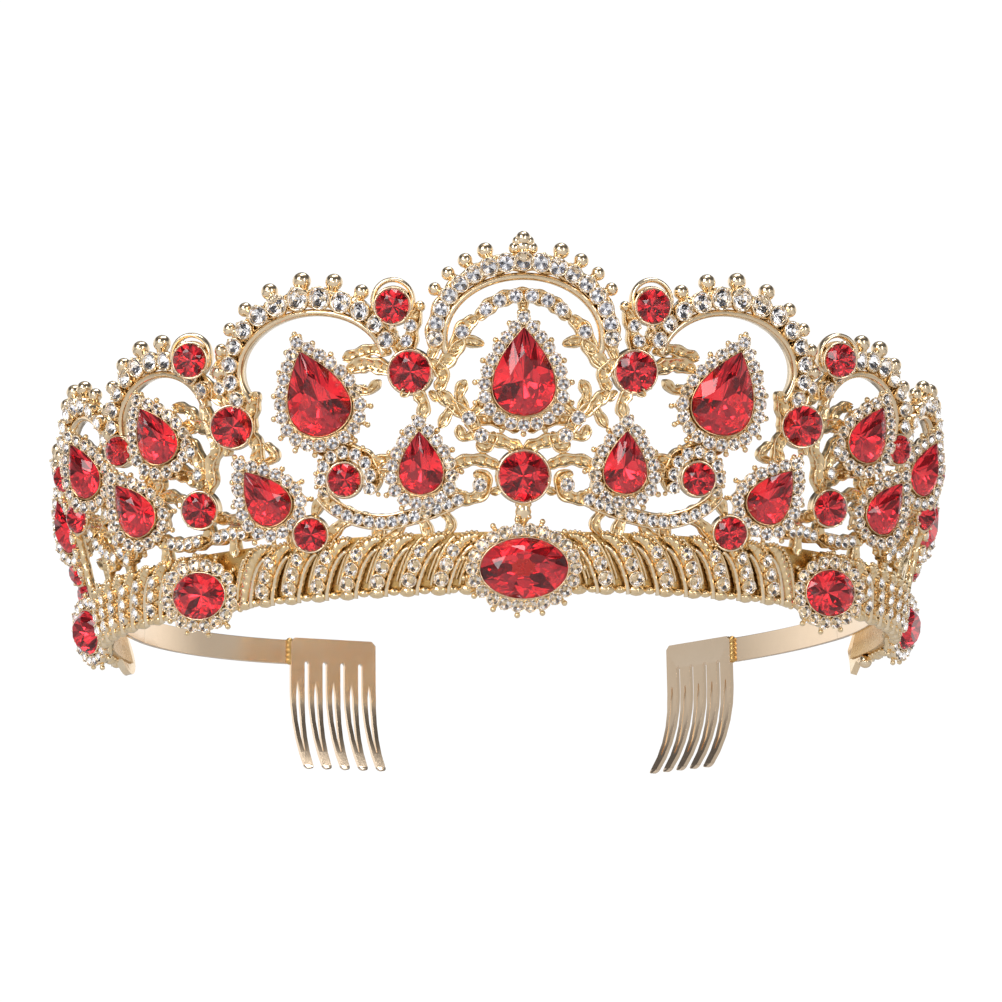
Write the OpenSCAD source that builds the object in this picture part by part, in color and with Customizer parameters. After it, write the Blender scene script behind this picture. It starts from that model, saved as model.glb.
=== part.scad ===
// Tiara: a cast filigree wall on a rope band, carried by a flat
// headband strip whose two arms end in slotted hair combs.
// The origin is the centre of the head ring, in the plane of the band's lower edge.
// +Z is up and the front of the crown faces -Y. Wall places are given as
// [t, s]: t degrees round the ring from the front, s millimetres up the wall.

/* [Ring] */
// Outer radius of the wall at its lower edge
ring_r = 72; // [66:1:78]
// Outward lean of the wall from the vertical
flare = 14; // [8:1:18]
// Thickness of the cast band behind its ribs
band_t = 1.4; // [1.2:0.1:1.8]
// Height of the rope band
band_h = 9.6; // [9:0.2:10.4]
// Angle where the band and wall end, from the front
band_end = 104; // [102:1:108]

/* [Headband and combs] */
// Height of the flat strip
strip_h = 5; // [4:0.5:6]
// Thickness of the flat strip
strip_t = 0.9; // [0.7:0.1:1.2]
// Height of the strip's lower edge
strip_z = 5.2; // [4.5:0.1:6]
// Bend radius of the left arm
arm_r_left = 50; // [45:1:70]
// Angle that the left arm turns through
arm_turn_left = 50; // [30:1:52]
// Bend radius of the right arm
arm_r_right = 100; // [70:5:120]
// Angle that the right arm turns through
arm_turn_right = 21; // [15:1:26]
// Distance between the comb teeth
tooth_pitch = 4; // [3.6:0.1:4.4]
// Height of a comb from its top edge to its tips
comb_h = 27.5; // [24:0.5:30]
// Radius that the teeth curve inward on
tooth_bend_r = 26; // [22:1:40]

/* [Stones] */
// Width of the large pear stones
pear_w = 10; // [9:0.5:10.5]
// Length of the large pear stones
pear_l = 14; // [13:0.5:14.5]
// Width of the small pear stones
drop_w = 7; // [6.5:0.5:7.5]
// Length of the small pear stones
drop_l = 10; // [9:0.5:10.5]
// Diameter of the round centre stone
centre_round_d = 8; // [7.5:0.1:8.5]
// Diameter of a clear crystal in the arch rows
row_crystal_d = 2.3; // [2:0.1:2.6]
// Diameter of a clear crystal in the halos and vines
halo_crystal_d = 1.8; // [1.6:0.1:2]

/* [Hidden] */

gold = "#d8bd8c";
ruby = "#c4162a";
clear = "#e8ecf2";
plate_out = 0;            // how far the back of the filigree stands off the ring surface
plate_t = 1.5;            // thickness of the cast filigree
stone_out = 2.4;          // how far a red stone's girdle stands off it
crystal_lift = 0.9;       // how far a clear crystal's girdle stands off its plate
rib_pitch = 4;            // degrees from one rope rib to the next
rib_first = 10.2;
rib_count = 7;
rib_second = 51.2;
rib_last = 96;
oval_places = [[0, 4.3], [43.6, 3.5], [85.8, 4.6]];      // centre, mid and side ovals
oval_sizes = [[14, 9.6], [9, 7.6], [9, 8]];
turn_pivot = 2.5;         // height over the wall that a turned setting pivots on
turn_lift = 1.2;          // how far it is raised at most, so that its near side clears the wall
comb_w = 5 * tooth_pitch - 1;
arm_start = band_end + 2;

// ---- places on the wall ----

module at_wall(t, s, h = 0, spin = 0) {
    r = ring_r + s * sin(flare) + h * cos(flare);
    rotate([0, 0, t]) translate([0, -r, s * cos(flare) - h * sin(flare)])
        rotate([90 + flare, 0, 0]) rotate([0, 0, spin]) children();
}
// The settings at the sides are turned back toward the front
function turned(t) = max(0, min((t - 8) * 1.2, 24));
function raised(t) = min(turned(t) / 24, max(0, min((80 - t) / 20, 1)));
module seat(t, s, h = 0, spin = 0)
    at_wall(t, s, turn_pivot + turn_lift * raised(t)) rotate([0, -turned(t), 0])
        translate([0, 0, h - turn_pivot]) rotate([0, 0, spin]) children();
module mirrored() { mirror([1, 0, 0]) children(); }
module both_sides() {
    children();
    mirror([1, 0, 0]) children();
}

// ---- paths: lists of [t, s] ----
function arch(c, a, b, from, to, n) =
    [for (i = [0:n]) let (g = from + (to - from) * i / n) [c[0] + a * cos(g), c[1] + b * sin(g)]];
function pear(w, l, u) = [w * 0.65 * sin(u) * sin(u / 2), l / 2 * cos(u)];
function oval(w, l, u) = [w / 2 * cos(u), l / 2 * sin(u)];
function pear_ring(w, l, n = 36) = [for (i = [0:n]) pear(w, l, 360 * i / n)];
function oval_ring(w, l, from = 0, to = 360, n = 36) =
    [for (i = [0:n]) oval(w, l, from + (to - from) * i / n)];
function spline(p, k = 4) =
    [for (i = [0:len(p) - 2]) for (j = [0:k - 1])
        let (u = j / k, a = p[max(i - 1, 0)], b = p[i], c = p[i + 1],
             d = p[min(i + 2, len(p) - 1)])
        0.5 * (2 * b + u * (c - a) + u * u * (2 * a - 5 * b + 4 * c - d)
            + u * u * u * (3 * b - a - 3 * c + d)),
     p[len(p) - 1]];
function steps(p) = [for (i = 0, c = 0; i < len(p);
    c = c + (i < len(p) - 1 ? norm(p[i + 1] - p[i]) : 0), i = i + 1) c];
function place_at(p, far, d) =
    let (i = min(max([for (k = [0:len(p) - 1]) if (far[k] <= d + 0.001) k]), len(p) - 2))
    p[i] + (p[i + 1] - p[i]) * (d - far[i]) / max(far[i + 1] - far[i], 0.001);
// Even places along a path in the plane; a closed path doesn't repeat its first place
function spread(p, pitch, closed = false) =
    let (far = steps(p), whole = far[len(p) - 1], n = max(1, round(whole / pitch)))
    [for (k = [0:closed ? n - 1 : n]) place_at(p, far, whole * k / n)];

// ---- building blocks ----
// A panel is cast flat: its [t, s] places are laid onto the plane at its middle angle.
function laid(mid, p) =
    [for (q = p) let (r = ring_r + q[1] * sin(flare) + plate_out * cos(flare))
        [r * sin(q[0] - mid), q[1] - r * (1 - cos(q[0] - mid)) * sin(flare)]];
function across(p, i) =
    let (d = p[min(i + 1, len(p) - 1)] - p[max(i - 1, 0)]) [-d[1], d[0]] / norm(d);
function ribbon(p, r) = concat([for (i = [0:len(p) - 1]) p[i] + across(p, i) * r],
    [for (i = [len(p) - 1:-1:0]) p[i] - across(p, i) * r]);
module strip(mid, p, r) polygon(ribbon(laid(mid, p), r));
module dot(mid, q, r) translate(laid(mid, [q])[0]) circle(r = r, $fn = 24);
module plate(mid, t = plate_t) at_wall(mid, 0, plate_out) linear_extrude(t) children();

// A small crystal stands in its collet and narrows to its flat top
module crystal(d)
    translate([0, 0, -0.42 * d]) cylinder(h = 0.62 * d, r1 = 0.5 * d, r2 = 0.32 * d, $fn = 24);
// Crystals set on a flat casting: p holds places in its plane
module crystals(p, d, lift) for (q = p) translate([q[0], q[1], lift]) crystal(d);
module plate_crystals(mid, p, d)
    at_wall(mid, 0, plate_out + plate_t) crystals(p, d, crystal_lift);
module round_stone(d)
    rotate_extrude($fn = 32)
        polygon([[0, -0.36 * d], [0.5 * d, -0.04 * d], [0.5 * d, 0.02 * d],
                 [0.28 * d, 0.2 * d], [0, 0.2 * d]]);
module slab(p, z, t) translate([0, 0, z]) linear_extrude(t) polygon(p);
module cut_stone(outline, d)
    hull() {
        slab(outline * 0.12, -0.3 * d, 0.02);
        slab(outline, -0.03 * d, 0.05 * d);
        slab(outline * 0.58, 0.18 * d, 0.02 * d);
    }
module pear_stone(w, l) cut_stone([for (u = [0:24:336]) pear(w, l, u)], w);
// The cup of a round stone: a wall under the girdle and a floor ring behind it
module cup(d)
    rotate_extrude($fn = 40)
        polygon([[d / 2 - 1.2, -1.8], [d / 2 + 0.7, -1.8], [d / 2 + 0.7, 0.3], [d / 2 + 0.15, 0.3],
                 [d / 2 + 0.05, -0.5], [d / 2 - 1.2, -1.1]]);
// A turned finial: a ball of radius r on a short waisted stem, in one profile
module finial(r)
    rotate_extrude($fn = 24)
        polygon(concat([[0, -0.6], [0.9, -0.6], [0.9, 0.2], [r * 0.66, 0.2 + r * 0.15]],
            [for (g = [40:18:148]) [r * sin(g), 0.3 + r * 1.05 - r * cos(g)]],
            [[0, 0.3 + r * 2.05]]));
// Points things outward from an arch, at angle g on its ellipse
module at_arch(mid, c, a, b, g) {
    p = laid(mid, [[c[0] + a * cos(g), c[1] + b * sin(g)], c]);
    d = p[0] - p[1];
    at_wall(mid, 0, plate_out + plate_t / 2) translate(p[0])
        rotate([0, 0, atan2(d[1], d[0]) - 90]) rotate([-90, 0, 0]) children();
}
module sector(r0, r1, z0, z1, from, to)
    rotate([0, 0, from - 90]) rotate_extrude(angle = to - from, $fn = 180)
        translate([r0, z0]) square([r1 - r0, z1 - z0]);

// ---- layout of one half: [t, s] or [t, s, turn or diameter] ----
centre_arch = [0, 41];
large_arch = [24.4, 38];
medium_arch = [46.8, 33];
small_arch = [65.3, 31];
end_arch = [83, 26];
centre_pear = [0, 35.8, 0];
large_pear = [23.6, 34, -14];
front_drops = [[11.9, 21.6, 0], [31.6, 18.2, -30]];
side_drops = [[46.7, 31.4, -18], [53.5, 20.2, -26], [64.4, 29.7, -14], [82.6, 24.1, -8]];
upper_rounds = [[14.1, 46.9, 5.4], [12.6, 36.2, 6.6], [39.2, 42.2, 5.4], [34.7, 30.2, 6.6],
    [54.2, 30.4, 4.8], [74.6, 31, 4.8]];
lower_rounds = [[21.1, 19.6, 5.2], [26, 11.2, 5.2], [41.4, 17.5, 5.8], [71.7, 22.8, 5.2],
    [88.5, 16.6, 4.8], [93.6, 13.4, 4.8]];
centre_round_s = 19;

// ---- headband, arms and combs ----
module headband_strip() color(gold)
    sector(ring_r - 0.9 - strip_t, ring_r - 0.9, strip_z, strip_z + strip_h,
        -arm_start, arm_start);
// Moves to the middle of an arm's bend; an arm starts where the ring ends
module at_bend(r, side)
    rotate([0, 0, side * arm_start]) translate([0, -(ring_r - 0.9 - r), 0]) children();
module arm(r, turn, side)
    at_bend(r, side) sector(r - strip_t, r, strip_z, strip_z + strip_h,
        side > 0 ? 0 : -turn, side > 0 ? turn : 0);
module arm_left() color(gold) arm(arm_r_left, arm_turn_left, -1);
module arm_right() color(gold) arm(arm_r_right, arm_turn_right, 1);

function tip_arc(x, r) =
    [for (g = [0:-20:-180]) [x + r * cos(g), -comb_h + r + r * sin(g)]];
function gap_top(x) = [[x, -5.2], [x - 0.3, -4.8], [x - 0.7, -4.8], [x - 1, -5.2]];
// One outline: along the top edge, then down and up every tooth from the last to the first
comb_outline = concat([[0.9, 0], [comb_w - 0.9, 0], [comb_w, -0.9]],
    [for (i = [4:-1:0]) for (q = concat([[i * tooth_pitch + 3, -12]],
        tip_arc(i * tooth_pitch + 1.5, 0.9), [[i * tooth_pitch, -12]],
        i > 0 ? gap_top(i * tooth_pitch) : [])) q],
    [[0, -0.9]]);
module comb_shape()
    difference() {
        polygon(comb_outline);
        for (i = [0:4]) translate([i * tooth_pitch + 1.5, 0])
            polygon([[-0.1, -9], [0.1, -9], [0.42, -12], [0.42, -17], [0.12, -23.5],
                     [-0.12, -23.5], [-0.42, -17], [-0.42, -12]]);
    }
bend_top = -10.5;
module comb_body()
    intersection() {
        translate([0, 4, 0]) rotate([90, 0, 0]) linear_extrude(24) comb_shape();
        rotate([90, 0, 90]) translate([0, 0, -1]) linear_extrude(comb_w + 2)
            polygon(concat([[0, 1], [0, bend_top]],
                [for (g = [8:8:56]) [tooth_bend_r * (cos(g) - 1), bend_top - tooth_bend_r * sin(g)]],
                [for (g = [56:-8:8]) [tooth_bend_r * (cos(g) - 1) - strip_t * cos(g),
                    bend_top - (tooth_bend_r - strip_t) * sin(g)]],
                [[-strip_t, bend_top], [-strip_t, 1]]));
    }
// Puts things at the end of an arm: X runs on along the strip, -Y is toward the head
module at_arm_end(r, turn, side)
    at_bend(r, side) rotate([0, 0, side * turn])
        translate([0, -r, strip_z + strip_h]) mirror([0, 1, 0]) mirror([side > 0 ? 0 : 1, 0, 0])
            children();
module comb(r, turn, side) at_arm_end(r, turn, side) translate([0, -strip_t, 0.4]) comb_body();
module comb_left() color(gold) comb(arm_r_left, arm_turn_left, -1);
module comb_right() color(gold) comb(arm_r_right, arm_turn_right, 1);
module solder(r, turn, side)
    at_arm_end(r, turn, side) for (i = [0:4]) translate([0, -1, -0.4 - i]) sphere(r = 0.8, $fn = 20);
module comb_solder() color(gold) {
    solder(arm_r_left, arm_turn_left, -1);
    solder(arm_r_right, arm_turn_right, 1);
}

// ---- rope band ----
module base_band() color(gold)
    rotate([0, 0, -band_end - 90]) rotate_extrude(angle = 2 * band_end, $fn = 180)
        polygon([[ring_r - 0.5, 1], [ring_r - 0.5 + band_t, 1],
                 [ring_r - 0.5 + band_t + band_h * sin(flare), band_h],
                 [ring_r - 0.5 + band_h * sin(flare), band_h]]);
// A rib starts along the band's top edge, turns down and ends in a round lip below
module rib(t)
    at_wall(t, 0, 0.6) linear_extrude(2.1) {
        polygon(ribbon([[-5.6, band_h - 0.2], [-3.9, 8.8], [-2.3, 7.2], [-1, 5.2], [0, 3.2], [0.5, 1.6]],
            1.15));
        translate([0.5, 1.6]) circle(r = 1.4, $fn = 24);
    }
function rib_places(from, n) = [for (i = [0:n - 1]) from + i * rib_pitch];
front_ribs = rib_places(rib_first, rib_count);
side_ribs = concat(rib_places(rib_second, rib_count), rib_places(rib_last, 2));
module rope_ribs_front() color(gold) both_sides() for (t = front_ribs) rib(t);
module rope_ribs_right() color(gold) for (t = side_ribs) rib(t);
module rope_ribs_left() color(gold) mirrored() for (t = side_ribs) rib(t);
module rib_crystals(ts) for (t = ts)
    at_wall(t, 0, 2.7) crystals([[-2.1, 7.2], [-0.9, 5], [0.2, 2.8]], 2, 0.6);
module band_crystals_front() color(clear) both_sides() rib_crystals(front_ribs);
module band_crystals_sides() color(clear) both_sides() rib_crystals(side_ribs);
// The end of the casting: a pointed tab with a ball on the right, a rounded one on the left
module end_tabs() color(gold) {
    at_wall(band_end - 2, 0, -0.4) {
        linear_extrude(1.3)
            polygon([[-4.6, 1.4], [-4, 6], [0, 8.4], [4, 8], [5.5, 3], [3.4, 0.6], [1.4, -2.2],
                     [-0.2, 0.2], [-2.2, -0.6], [-3, 0.8]]);
        translate([-3.4, -0.2, 0.7]) sphere(r = 1.3, $fn = 24);
    }
    mirrored() at_wall(band_end - 2, 0, -0.4) linear_extrude(1.3)
        polygon([for (u = [0:15:345]) [0.6 + 5 * cos(u), 3 + (u > 180 ? 4.4 : 5.2) * sin(u)]]);
}

// ---- oval settings on the band ----
module at_oval(i, h) seat(oval_places[i][0], oval_places[i][1], h) children();
module oval_setting(i) at_oval(i, 0.4) linear_extrude(2.3) difference() {
    polygon([for (u = [0:5:355]) let (grow = 4.4 + 0.8 * cos(15 * u))
        oval(oval_sizes[i][0] + grow, oval_sizes[i][1] + grow, u)]);
    polygon([for (u = [0:20:340]) oval(oval_sizes[i][0] - 2, oval_sizes[i][1] - 2, u)]);
}
module oval_halo(i) at_oval(i, 2.7)
    crystals(spread(oval_ring(oval_sizes[i][0] + 2.9, oval_sizes[i][1] + 2.9), 2.1, true),
        halo_crystal_d, 0.5);
module oval_stone(i) at_oval(i, 3.4)
    cut_stone([for (u = [0:24:336]) oval(oval_sizes[i][0], oval_sizes[i][1], u)], oval_sizes[i][1]);
module oval_setting_centre() color(gold) oval_setting(0);
module oval_settings_mid() color(gold) both_sides() oval_setting(1);
module oval_settings_side() color(gold) both_sides() oval_setting(2);
module oval_halo_centre() color(clear) oval_halo(0);
module oval_halos_mid() color(clear) both_sides() oval_halo(1);
module oval_halos_side() color(clear) both_sides() oval_halo(2);
module oval_stone_centre() color(ruby) oval_stone(0);
module oval_stones_mid() color(ruby) both_sides() oval_stone(1);
module oval_stones_side() color(ruby) both_sides() oval_stone(2);

// ---- settings of the pear stones ----
// The outer edge is a ring of small prongs; the opening lets light through behind the stone
module pear_setting(c, w, l, bumps)
    seat(c[0], c[1], 0.4, c[2]) linear_extrude(2) difference() {
        polygon([for (u = [0:4:356])
            pear(w + 5.2 + 0.8 * cos(bumps * u), l + 5.6 + 0.8 * cos(bumps * u), u)]);
        polygon([for (u = [0:20:340]) pear(w - 2.6, l - 3, u)]);
    }
module pear_settings(list, w, l, bumps) both_sides() for (c = list) pear_setting(c, w, l, bumps);
module pear_setting_centre() color(gold) pear_setting(centre_pear, pear_w, pear_l, 16);
module pear_settings_large() color(gold) pear_settings([large_pear], pear_w, pear_l, 16);
module drop_settings_front() color(gold) pear_settings(front_drops, drop_w, drop_l, 12);
module drop_settings_side() color(gold) pear_settings(side_drops, drop_w, drop_l, 12);

// ---- filigree panels ----
module arch_strips(mid, c, a, b, from, to) {
    strip(mid, arch(c, a - 1.1, b - 2.5, from - 4, to + 4, 18), 0.6);
    strip(mid, arch(c, a, b - 0.1, from, to, 16), 1.3);
}
module half_centre() {
    mid = 0;
    strip(mid, spline([[5.2, 44.3], [7, 42.3], [7.6, 39.6], [8.8, 37.6], [9.9, 36.6]], 3), 1);
    strip(mid, [[4.2, 40.4], [6.6, 40.6], [8.2, 38.6]], 0.7);
    strip(mid, spline([[0, 23.2], [2.6, 24.6], [5, 25.6], [6.4, 28.5], [8.2, 30.6], [10, 33]], 3), 0.8);
    strip(mid, spline([[0.4, 26.4], [3.4, 27.8], [6.4, 28.5]], 3), 0.8);
    strip(mid, [[8.2, 30.6], [9, 28.8], [9.9, 27]], 0.7);
    strip(mid, [[4.2, 31.6], [6.4, 28.5]], 0.7);
    strip(mid, spline([[3, 20.9], [5.6, 21.4], [8, 20.8], [9.3, 18.8], [8.8, 16.7], [6.8, 15.9],
        [5.3, 17.6], [6, 19.8]], 3), 0.7);
    strip(mid, [[10.6, 38.4], [9.4, 41.5]], 0.9);
}
module panel_centre() color(gold) plate(0) {
    arch_strips(0, centre_arch, 10, 12.4, -8, 188);
    strip(0, spline([[-5.2, 44.3], [-3, 47], [0, 48], [3, 47], [5.2, 44.3]], 3), 0.9);
    strip(0, [[0, 45], [0, 48]], 0.7);
    both_sides() half_centre();
}
module centre_post() color(gold) plate(0) {
    translate([-0.9, 10.6]) square([1.8, 5.4]);
    translate([0, 13.4]) circle(r = 1.5, $fn = 32);
}

module panel_large() {
    mid = 24;
    plate(mid) {
        arch_strips(mid, large_arch, 10.2, 11.4, -24, 168);
        strip(mid, [[14.4, 36.6], [17.4, 37.8], [20, 37.4]], 1);
        strip(mid, [[14.6, 39.2], [16.8, 40], [20.4, 39.2]], 0.8);
        strip(mid, [[22.8, 27], [21.8, 23.4]], 1);
        strip(mid, [[14, 21.4], [16.4, 22.2], [18.4, 21.2]], 0.8);
        translate(laid(mid, [[21.1, 19.6]])[0])
            polygon(ribbon(oval_ring(8.8, 8.8, -34, 214, 16), 1.2));
        strip(mid, spline([[31.8, 34.6], [33.2, 29.6], [32.6, 26.2], [33.2, 23.4]], 3), 0.9);
        strip(mid, [[33, 33.4], [34.4, 34.2]], 0.8);
        strip(mid, [[25, 17], [26.2, 14]], 0.7);
        strip(mid, [[28.2, 14.2], [29.4, 12.4], [29.6, 9]], 0.8);
    }
}
module panel_large_right() color(gold) panel_large();
module panel_large_left() color(gold) mirrored() panel_large();

vine_path = [[6.8, 15.9], [9.6, 14.4], [13, 13], [17, 12.2], [20.6, 13.2], [23.4, 15.4], [25, 18]];
module vine() plate(16, 1.5) {
    strip(16, spline(vine_path, 3), 0.95);
    strip(16, [[12.4, 13], [11.6, 10.6], [11.4, 8.6]], 0.8);
    strip(16, [[17.6, 12.2], [18.2, 8.8]], 0.9);
    strip(16, [[21.2, 13.6], [23.6, 11.4], [25, 8.8]], 0.8);
}
module vine_right() color(gold) vine();
module vine_left() color(gold) mirrored() vine();

module panel_medium() {
    mid = 45;
    plate(mid) {
        arch_strips(mid, medium_arch, 8.7, 10.7, -16, 168);
        strip(mid, spline([[39.6, 35], [38.8, 30], [38.4, 27], [39.8, 25], [40.2, 22], [42, 20]], 3),
            0.8);
        strip(mid, spline([[40.6, 20.6], [44.6, 23.8], [48.4, 25.2], [52, 23.6]], 3), 1.1);
        strip(mid, [[41.4, 22], [42.2, 27.4], [44.4, 29.6]], 0.9);
        strip(mid, [[38.4, 29.8], [41.2, 31.4], [44.4, 31.6]], 0.9);
        strip(mid, [[50, 27], [53.4, 29]], 0.9);
        strip(mid, [[45.4, 18.6], [48, 20.6], [51.6, 20.6]], 0.8);
        strip(mid, spline([[32.6, 13], [36.6, 14.6], [41, 16]], 3), 0.8);
        strip(mid, spline([[33.6, 12], [37.6, 12.9], [41.8, 12]], 3), 1);
        strip(mid, spline([[41.8, 15], [42.6, 12.6], [46.4, 12.2], [50.6, 13.4], [53, 15]], 3), 1);
        strip(mid, [[38, 8.8], [37.6, 13.4]], 0.8);
        strip(mid, [[50.4, 13.6], [51, 8.8]], 0.9);
        strip(mid, [[36.4, 27.8], [36.8, 25.8]], 0.6);
    }
}
module panel_medium_right() color(gold) panel_medium();
module panel_medium_left() color(gold) mirrored() panel_medium();

small_stem = [[58, 11.6], [60.6, 14.4], [61.4, 18.2], [62.6, 23.4]];
small_branch = [[60.8, 12.4], [64.8, 14.2], [67.8, 16.8], [69.8, 20.6]];
module panel_small() {
    mid = 65;
    plate(mid) {
        arch_strips(mid, small_arch, 7.8, 10.2, -14, 172);
        strip(mid, spline(small_stem, 3), 1);
        strip(mid, spline(small_branch, 3), 1);
        strip(mid, [[55, 14.4], [58.6, 12.6], [61.6, 12.8]], 0.9);
        strip(mid, [[57, 26.8], [60.2, 24.8], [63.4, 25]], 0.9);
        strip(mid, [[66, 25.4], [69.8, 23.4]], 0.9);
        strip(mid, [[62.2, 22.4], [66.2, 20.4], [69.8, 21.4]], 0.8);
        strip(mid, [[60.4, 14.6], [60.2, 8.8]], 0.9);
        strip(mid, [[67.6, 17.2], [68.4, 8.8]], 0.9);
        strip(mid, [[71.8, 34.4], [73.4, 32.2]], 0.9);
    }
}
module panel_small_right() color(gold) panel_small();
module panel_small_left() color(gold) mirrored() panel_small();

end_leaf = [[88.6, 24], [92.2, 20.4], [95.8, 17.6], [99, 14], [101.4, 8.8]];
end_stem = [[74.6, 28.6], [75.8, 24.4], [76.6, 20.4], [77.8, 15.4], [78, 8.8]];
module panel_end() {
    mid = 86;
    plate(mid) {
        arch_strips(mid, end_arch, 7.4, 9.4, -10, 190);
        strip(mid, spline(end_leaf, 3), 1.1);
        strip(mid, spline(end_stem, 3), 1);
        strip(mid, [[77.6, 15.6], [81.6, 14.6], [86.6, 16]], 0.9);
        strip(mid, [[82.8, 18.4], [81.6, 14.8], [80.6, 9]], 0.9);
        strip(mid, [[73.4, 21.6], [77, 20.2]], 0.9);
        strip(mid, [[90.2, 22.6], [89, 18.4]], 0.9);
        strip(mid, [[91.6, 15.4], [90.4, 15.8]], 0.9);
        strip(mid, [[95, 15], [97, 16.8]], 0.9);
    }
}
module panel_end_right() color(gold) panel_end();
module panel_end_left() color(gold) mirrored() panel_end();

// ---- clear crystals ----
module pear_halo(c, w, l)
    seat(c[0], c[1], 2.4, c[2])
        crystals(spread(pear_ring(w + 3.4, l + 3.8), 2.2, true), halo_crystal_d, 0.5);
// A row set round an arch; the crystals grow toward its top
module row_crystals(mid, c, a, b, from, to, n, grow)
    for (i = [0:n]) let (g = from + (to - from) * i / n)
        plate_crystals(mid, laid(mid, [[c[0] + a * cos(g), c[1] + b * sin(g)]]),
            row_crystal_d + grow * pow(max(sin(g), 0), 3));
module path_crystals(mid, p, pitch, d)
    plate_crystals(mid, spread(laid(mid, spline(p, 3)), pitch), d);
module crystals_centre() color(clear) {
    row_crystals(0, centre_arch, 10, 12.4, 2, 178, 16, 0.4);
    path_crystals(0, [[-4.2, 45.8], [-3, 47], [0, 48], [3, 47], [4.2, 45.8]], 2.6, 2);
    pear_halo(centre_pear, pear_w, pear_l);
    both_sides() {
        plate_crystals(0, laid(0, [[6.9, 42.3], [5, 25.6], [6.4, 28.5], [5.3, 17.7]]), 2);
        pear_halo(front_drops[0], drop_w, drop_l);
    }
}
module crystals_large() color(clear) both_sides() {
    row_crystals(24, large_arch, 10.2, 11.4, -18, 162, 12, 1);
    pear_halo(large_pear, pear_w, pear_l);
    pear_halo(front_drops[1], drop_w, drop_l);
    at_wall(24, 0, plate_out + plate_t) translate(laid(24, [[21.1, 19.6]])[0])
        crystals(spread(oval_ring(8.8, 8.8, -24, 204), 2.2), halo_crystal_d, crystal_lift);
    plate_crystals(13, laid(13, [[12.9, 41.2], [14.7, 41.8], [12.3, 43.6], [14.6, 44.2]]), 1.8);
    path_crystals(16, [[7.4, 15.4], [9.6, 14.4], [13, 13], [17, 12.2], [20.6, 13.2],
        [22.8, 14.8]], 1.95, 1.7);
}
module crystals_medium() color(clear) both_sides() {
    row_crystals(45, medium_arch, 8.7, 10.7, -8, 158, 10, 0.6);
    for (c = [side_drops[0], side_drops[1]]) pear_halo(c, drop_w, drop_l);
    plate_crystals(37, laid(37, [[36.6, 39.6], [38.6, 37.4], [36.4, 36.8]]), 1.9);
    plate_crystals(45, laid(45, [[41.6, 23.4], [42.2, 27.4], [48.6, 25.2]]), 2);
    path_crystals(45, [[35.4, 12.6], [37.6, 12.9], [39.9, 12.5]], 2, 1.7);
    path_crystals(45, [[43.8, 12.5], [46.4, 12.3], [48.6, 12.9]], 2, 1.7);
}
module crystals_small() color(clear) both_sides() {
    row_crystals(65, small_arch, 7.8, 10.2, -6, 166, 9, 0.5);
    pear_halo(side_drops[2], drop_w, drop_l);
    path_crystals(65, [[58.6, 12.2], [60.6, 14.4], [61.4, 18.2], [62, 21]], 2.4, 1.9);
    path_crystals(65, [[63, 13.4], [64.8, 14.2], [67.8, 16.8], [69, 19]], 2.4, 1.9);
}
module crystals_end() color(clear) both_sides() {
    row_crystals(86, end_arch, 7.4, 9.4, 0, 180, 10, 0.3);
    pear_halo(side_drops[3], drop_w, drop_l);
    path_crystals(86, [[91.6, 21], [95.8, 17.6], [99, 14], [101, 10.4]], 2.6, 1.9);
    plate_crystals(86, laid(86, [[76.6, 20.4], [77.2, 17.6], [77.9, 14.4]]), 1.9);
}

// ---- ball finials round the arches ----
module finial_row(mid, c, a, b, angles, r) for (g = angles)
    at_arch(mid, c, a, b, g) finial(r + 0.35 * pow(max(sin(g), 0), 6));
module finials_centre() color(gold) {
    both_sides() finial_row(0, centre_arch, 10.8, 13.5, [34, 46, 58, 70], 1);
    at_wall(0, 54.2, plate_out + plate_t / 2) rotate([-90, 0, 0]) finial(1.8);
}
module finials_large() color(gold) both_sides()
    finial_row(24, large_arch, 11, 12.5, [6, 21, 36, 52, 70, 89, 107, 124], 1.05);
module finials_medium() color(gold) both_sides()
    finial_row(45, medium_arch, 9.5, 11.8, [4, 22, 40, 60, 80, 100, 118], 1.05);
module finials_small() color(gold) both_sides()
    finial_row(65, small_arch, 8.6, 11.3, [4, 24, 44, 64, 84, 104, 124], 1);
module finials_end() color(gold) both_sides()
    finial_row(86, end_arch, 8.2, 10.5, [8, 32, 56, 78, 100, 124, 148], 0.95);

// ---- plain wire loops and the cups of the round stones ----
module loop(c) seat(c[0], c[1] + 0.8, -0.4) linear_extrude(2.4) difference() {
    polygon([for (u = [0:15:345]) oval(7.2, 7.6, u)]);
    polygon([for (u = [0:15:345]) oval(5.6, 6, u)]);
}
module loops_upper() color(gold) both_sides() {
    loop(upper_rounds[0]);
    loop(upper_rounds[2]);
    plate(13) {
        strip(13, [[12.8, 38.8], [12.2, 43.6], [11.4, 46.2]], 0.9);
        strip(13, [[13, 38.8], [14.8, 42.4], [14.4, 44]], 0.9);
        dot(13, [11.3, 46.6], 1);
    }
    plate(37) {
        strip(37, [[35.8, 33.8], [36.6, 39.4], [36.2, 41.6]], 0.9);
        strip(37, [[36, 33.8], [38.6, 37], [39.4, 39.2]], 0.9);
        dot(37, [36.2, 42], 1);
    }
}
module bezels_round() color(gold) {
    at_wall(0, centre_round_s, stone_out) cup(centre_round_d);
    both_sides() for (p = concat(upper_rounds, lower_rounds)) seat(p[0], p[1], stone_out) cup(p[2]);
}

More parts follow.
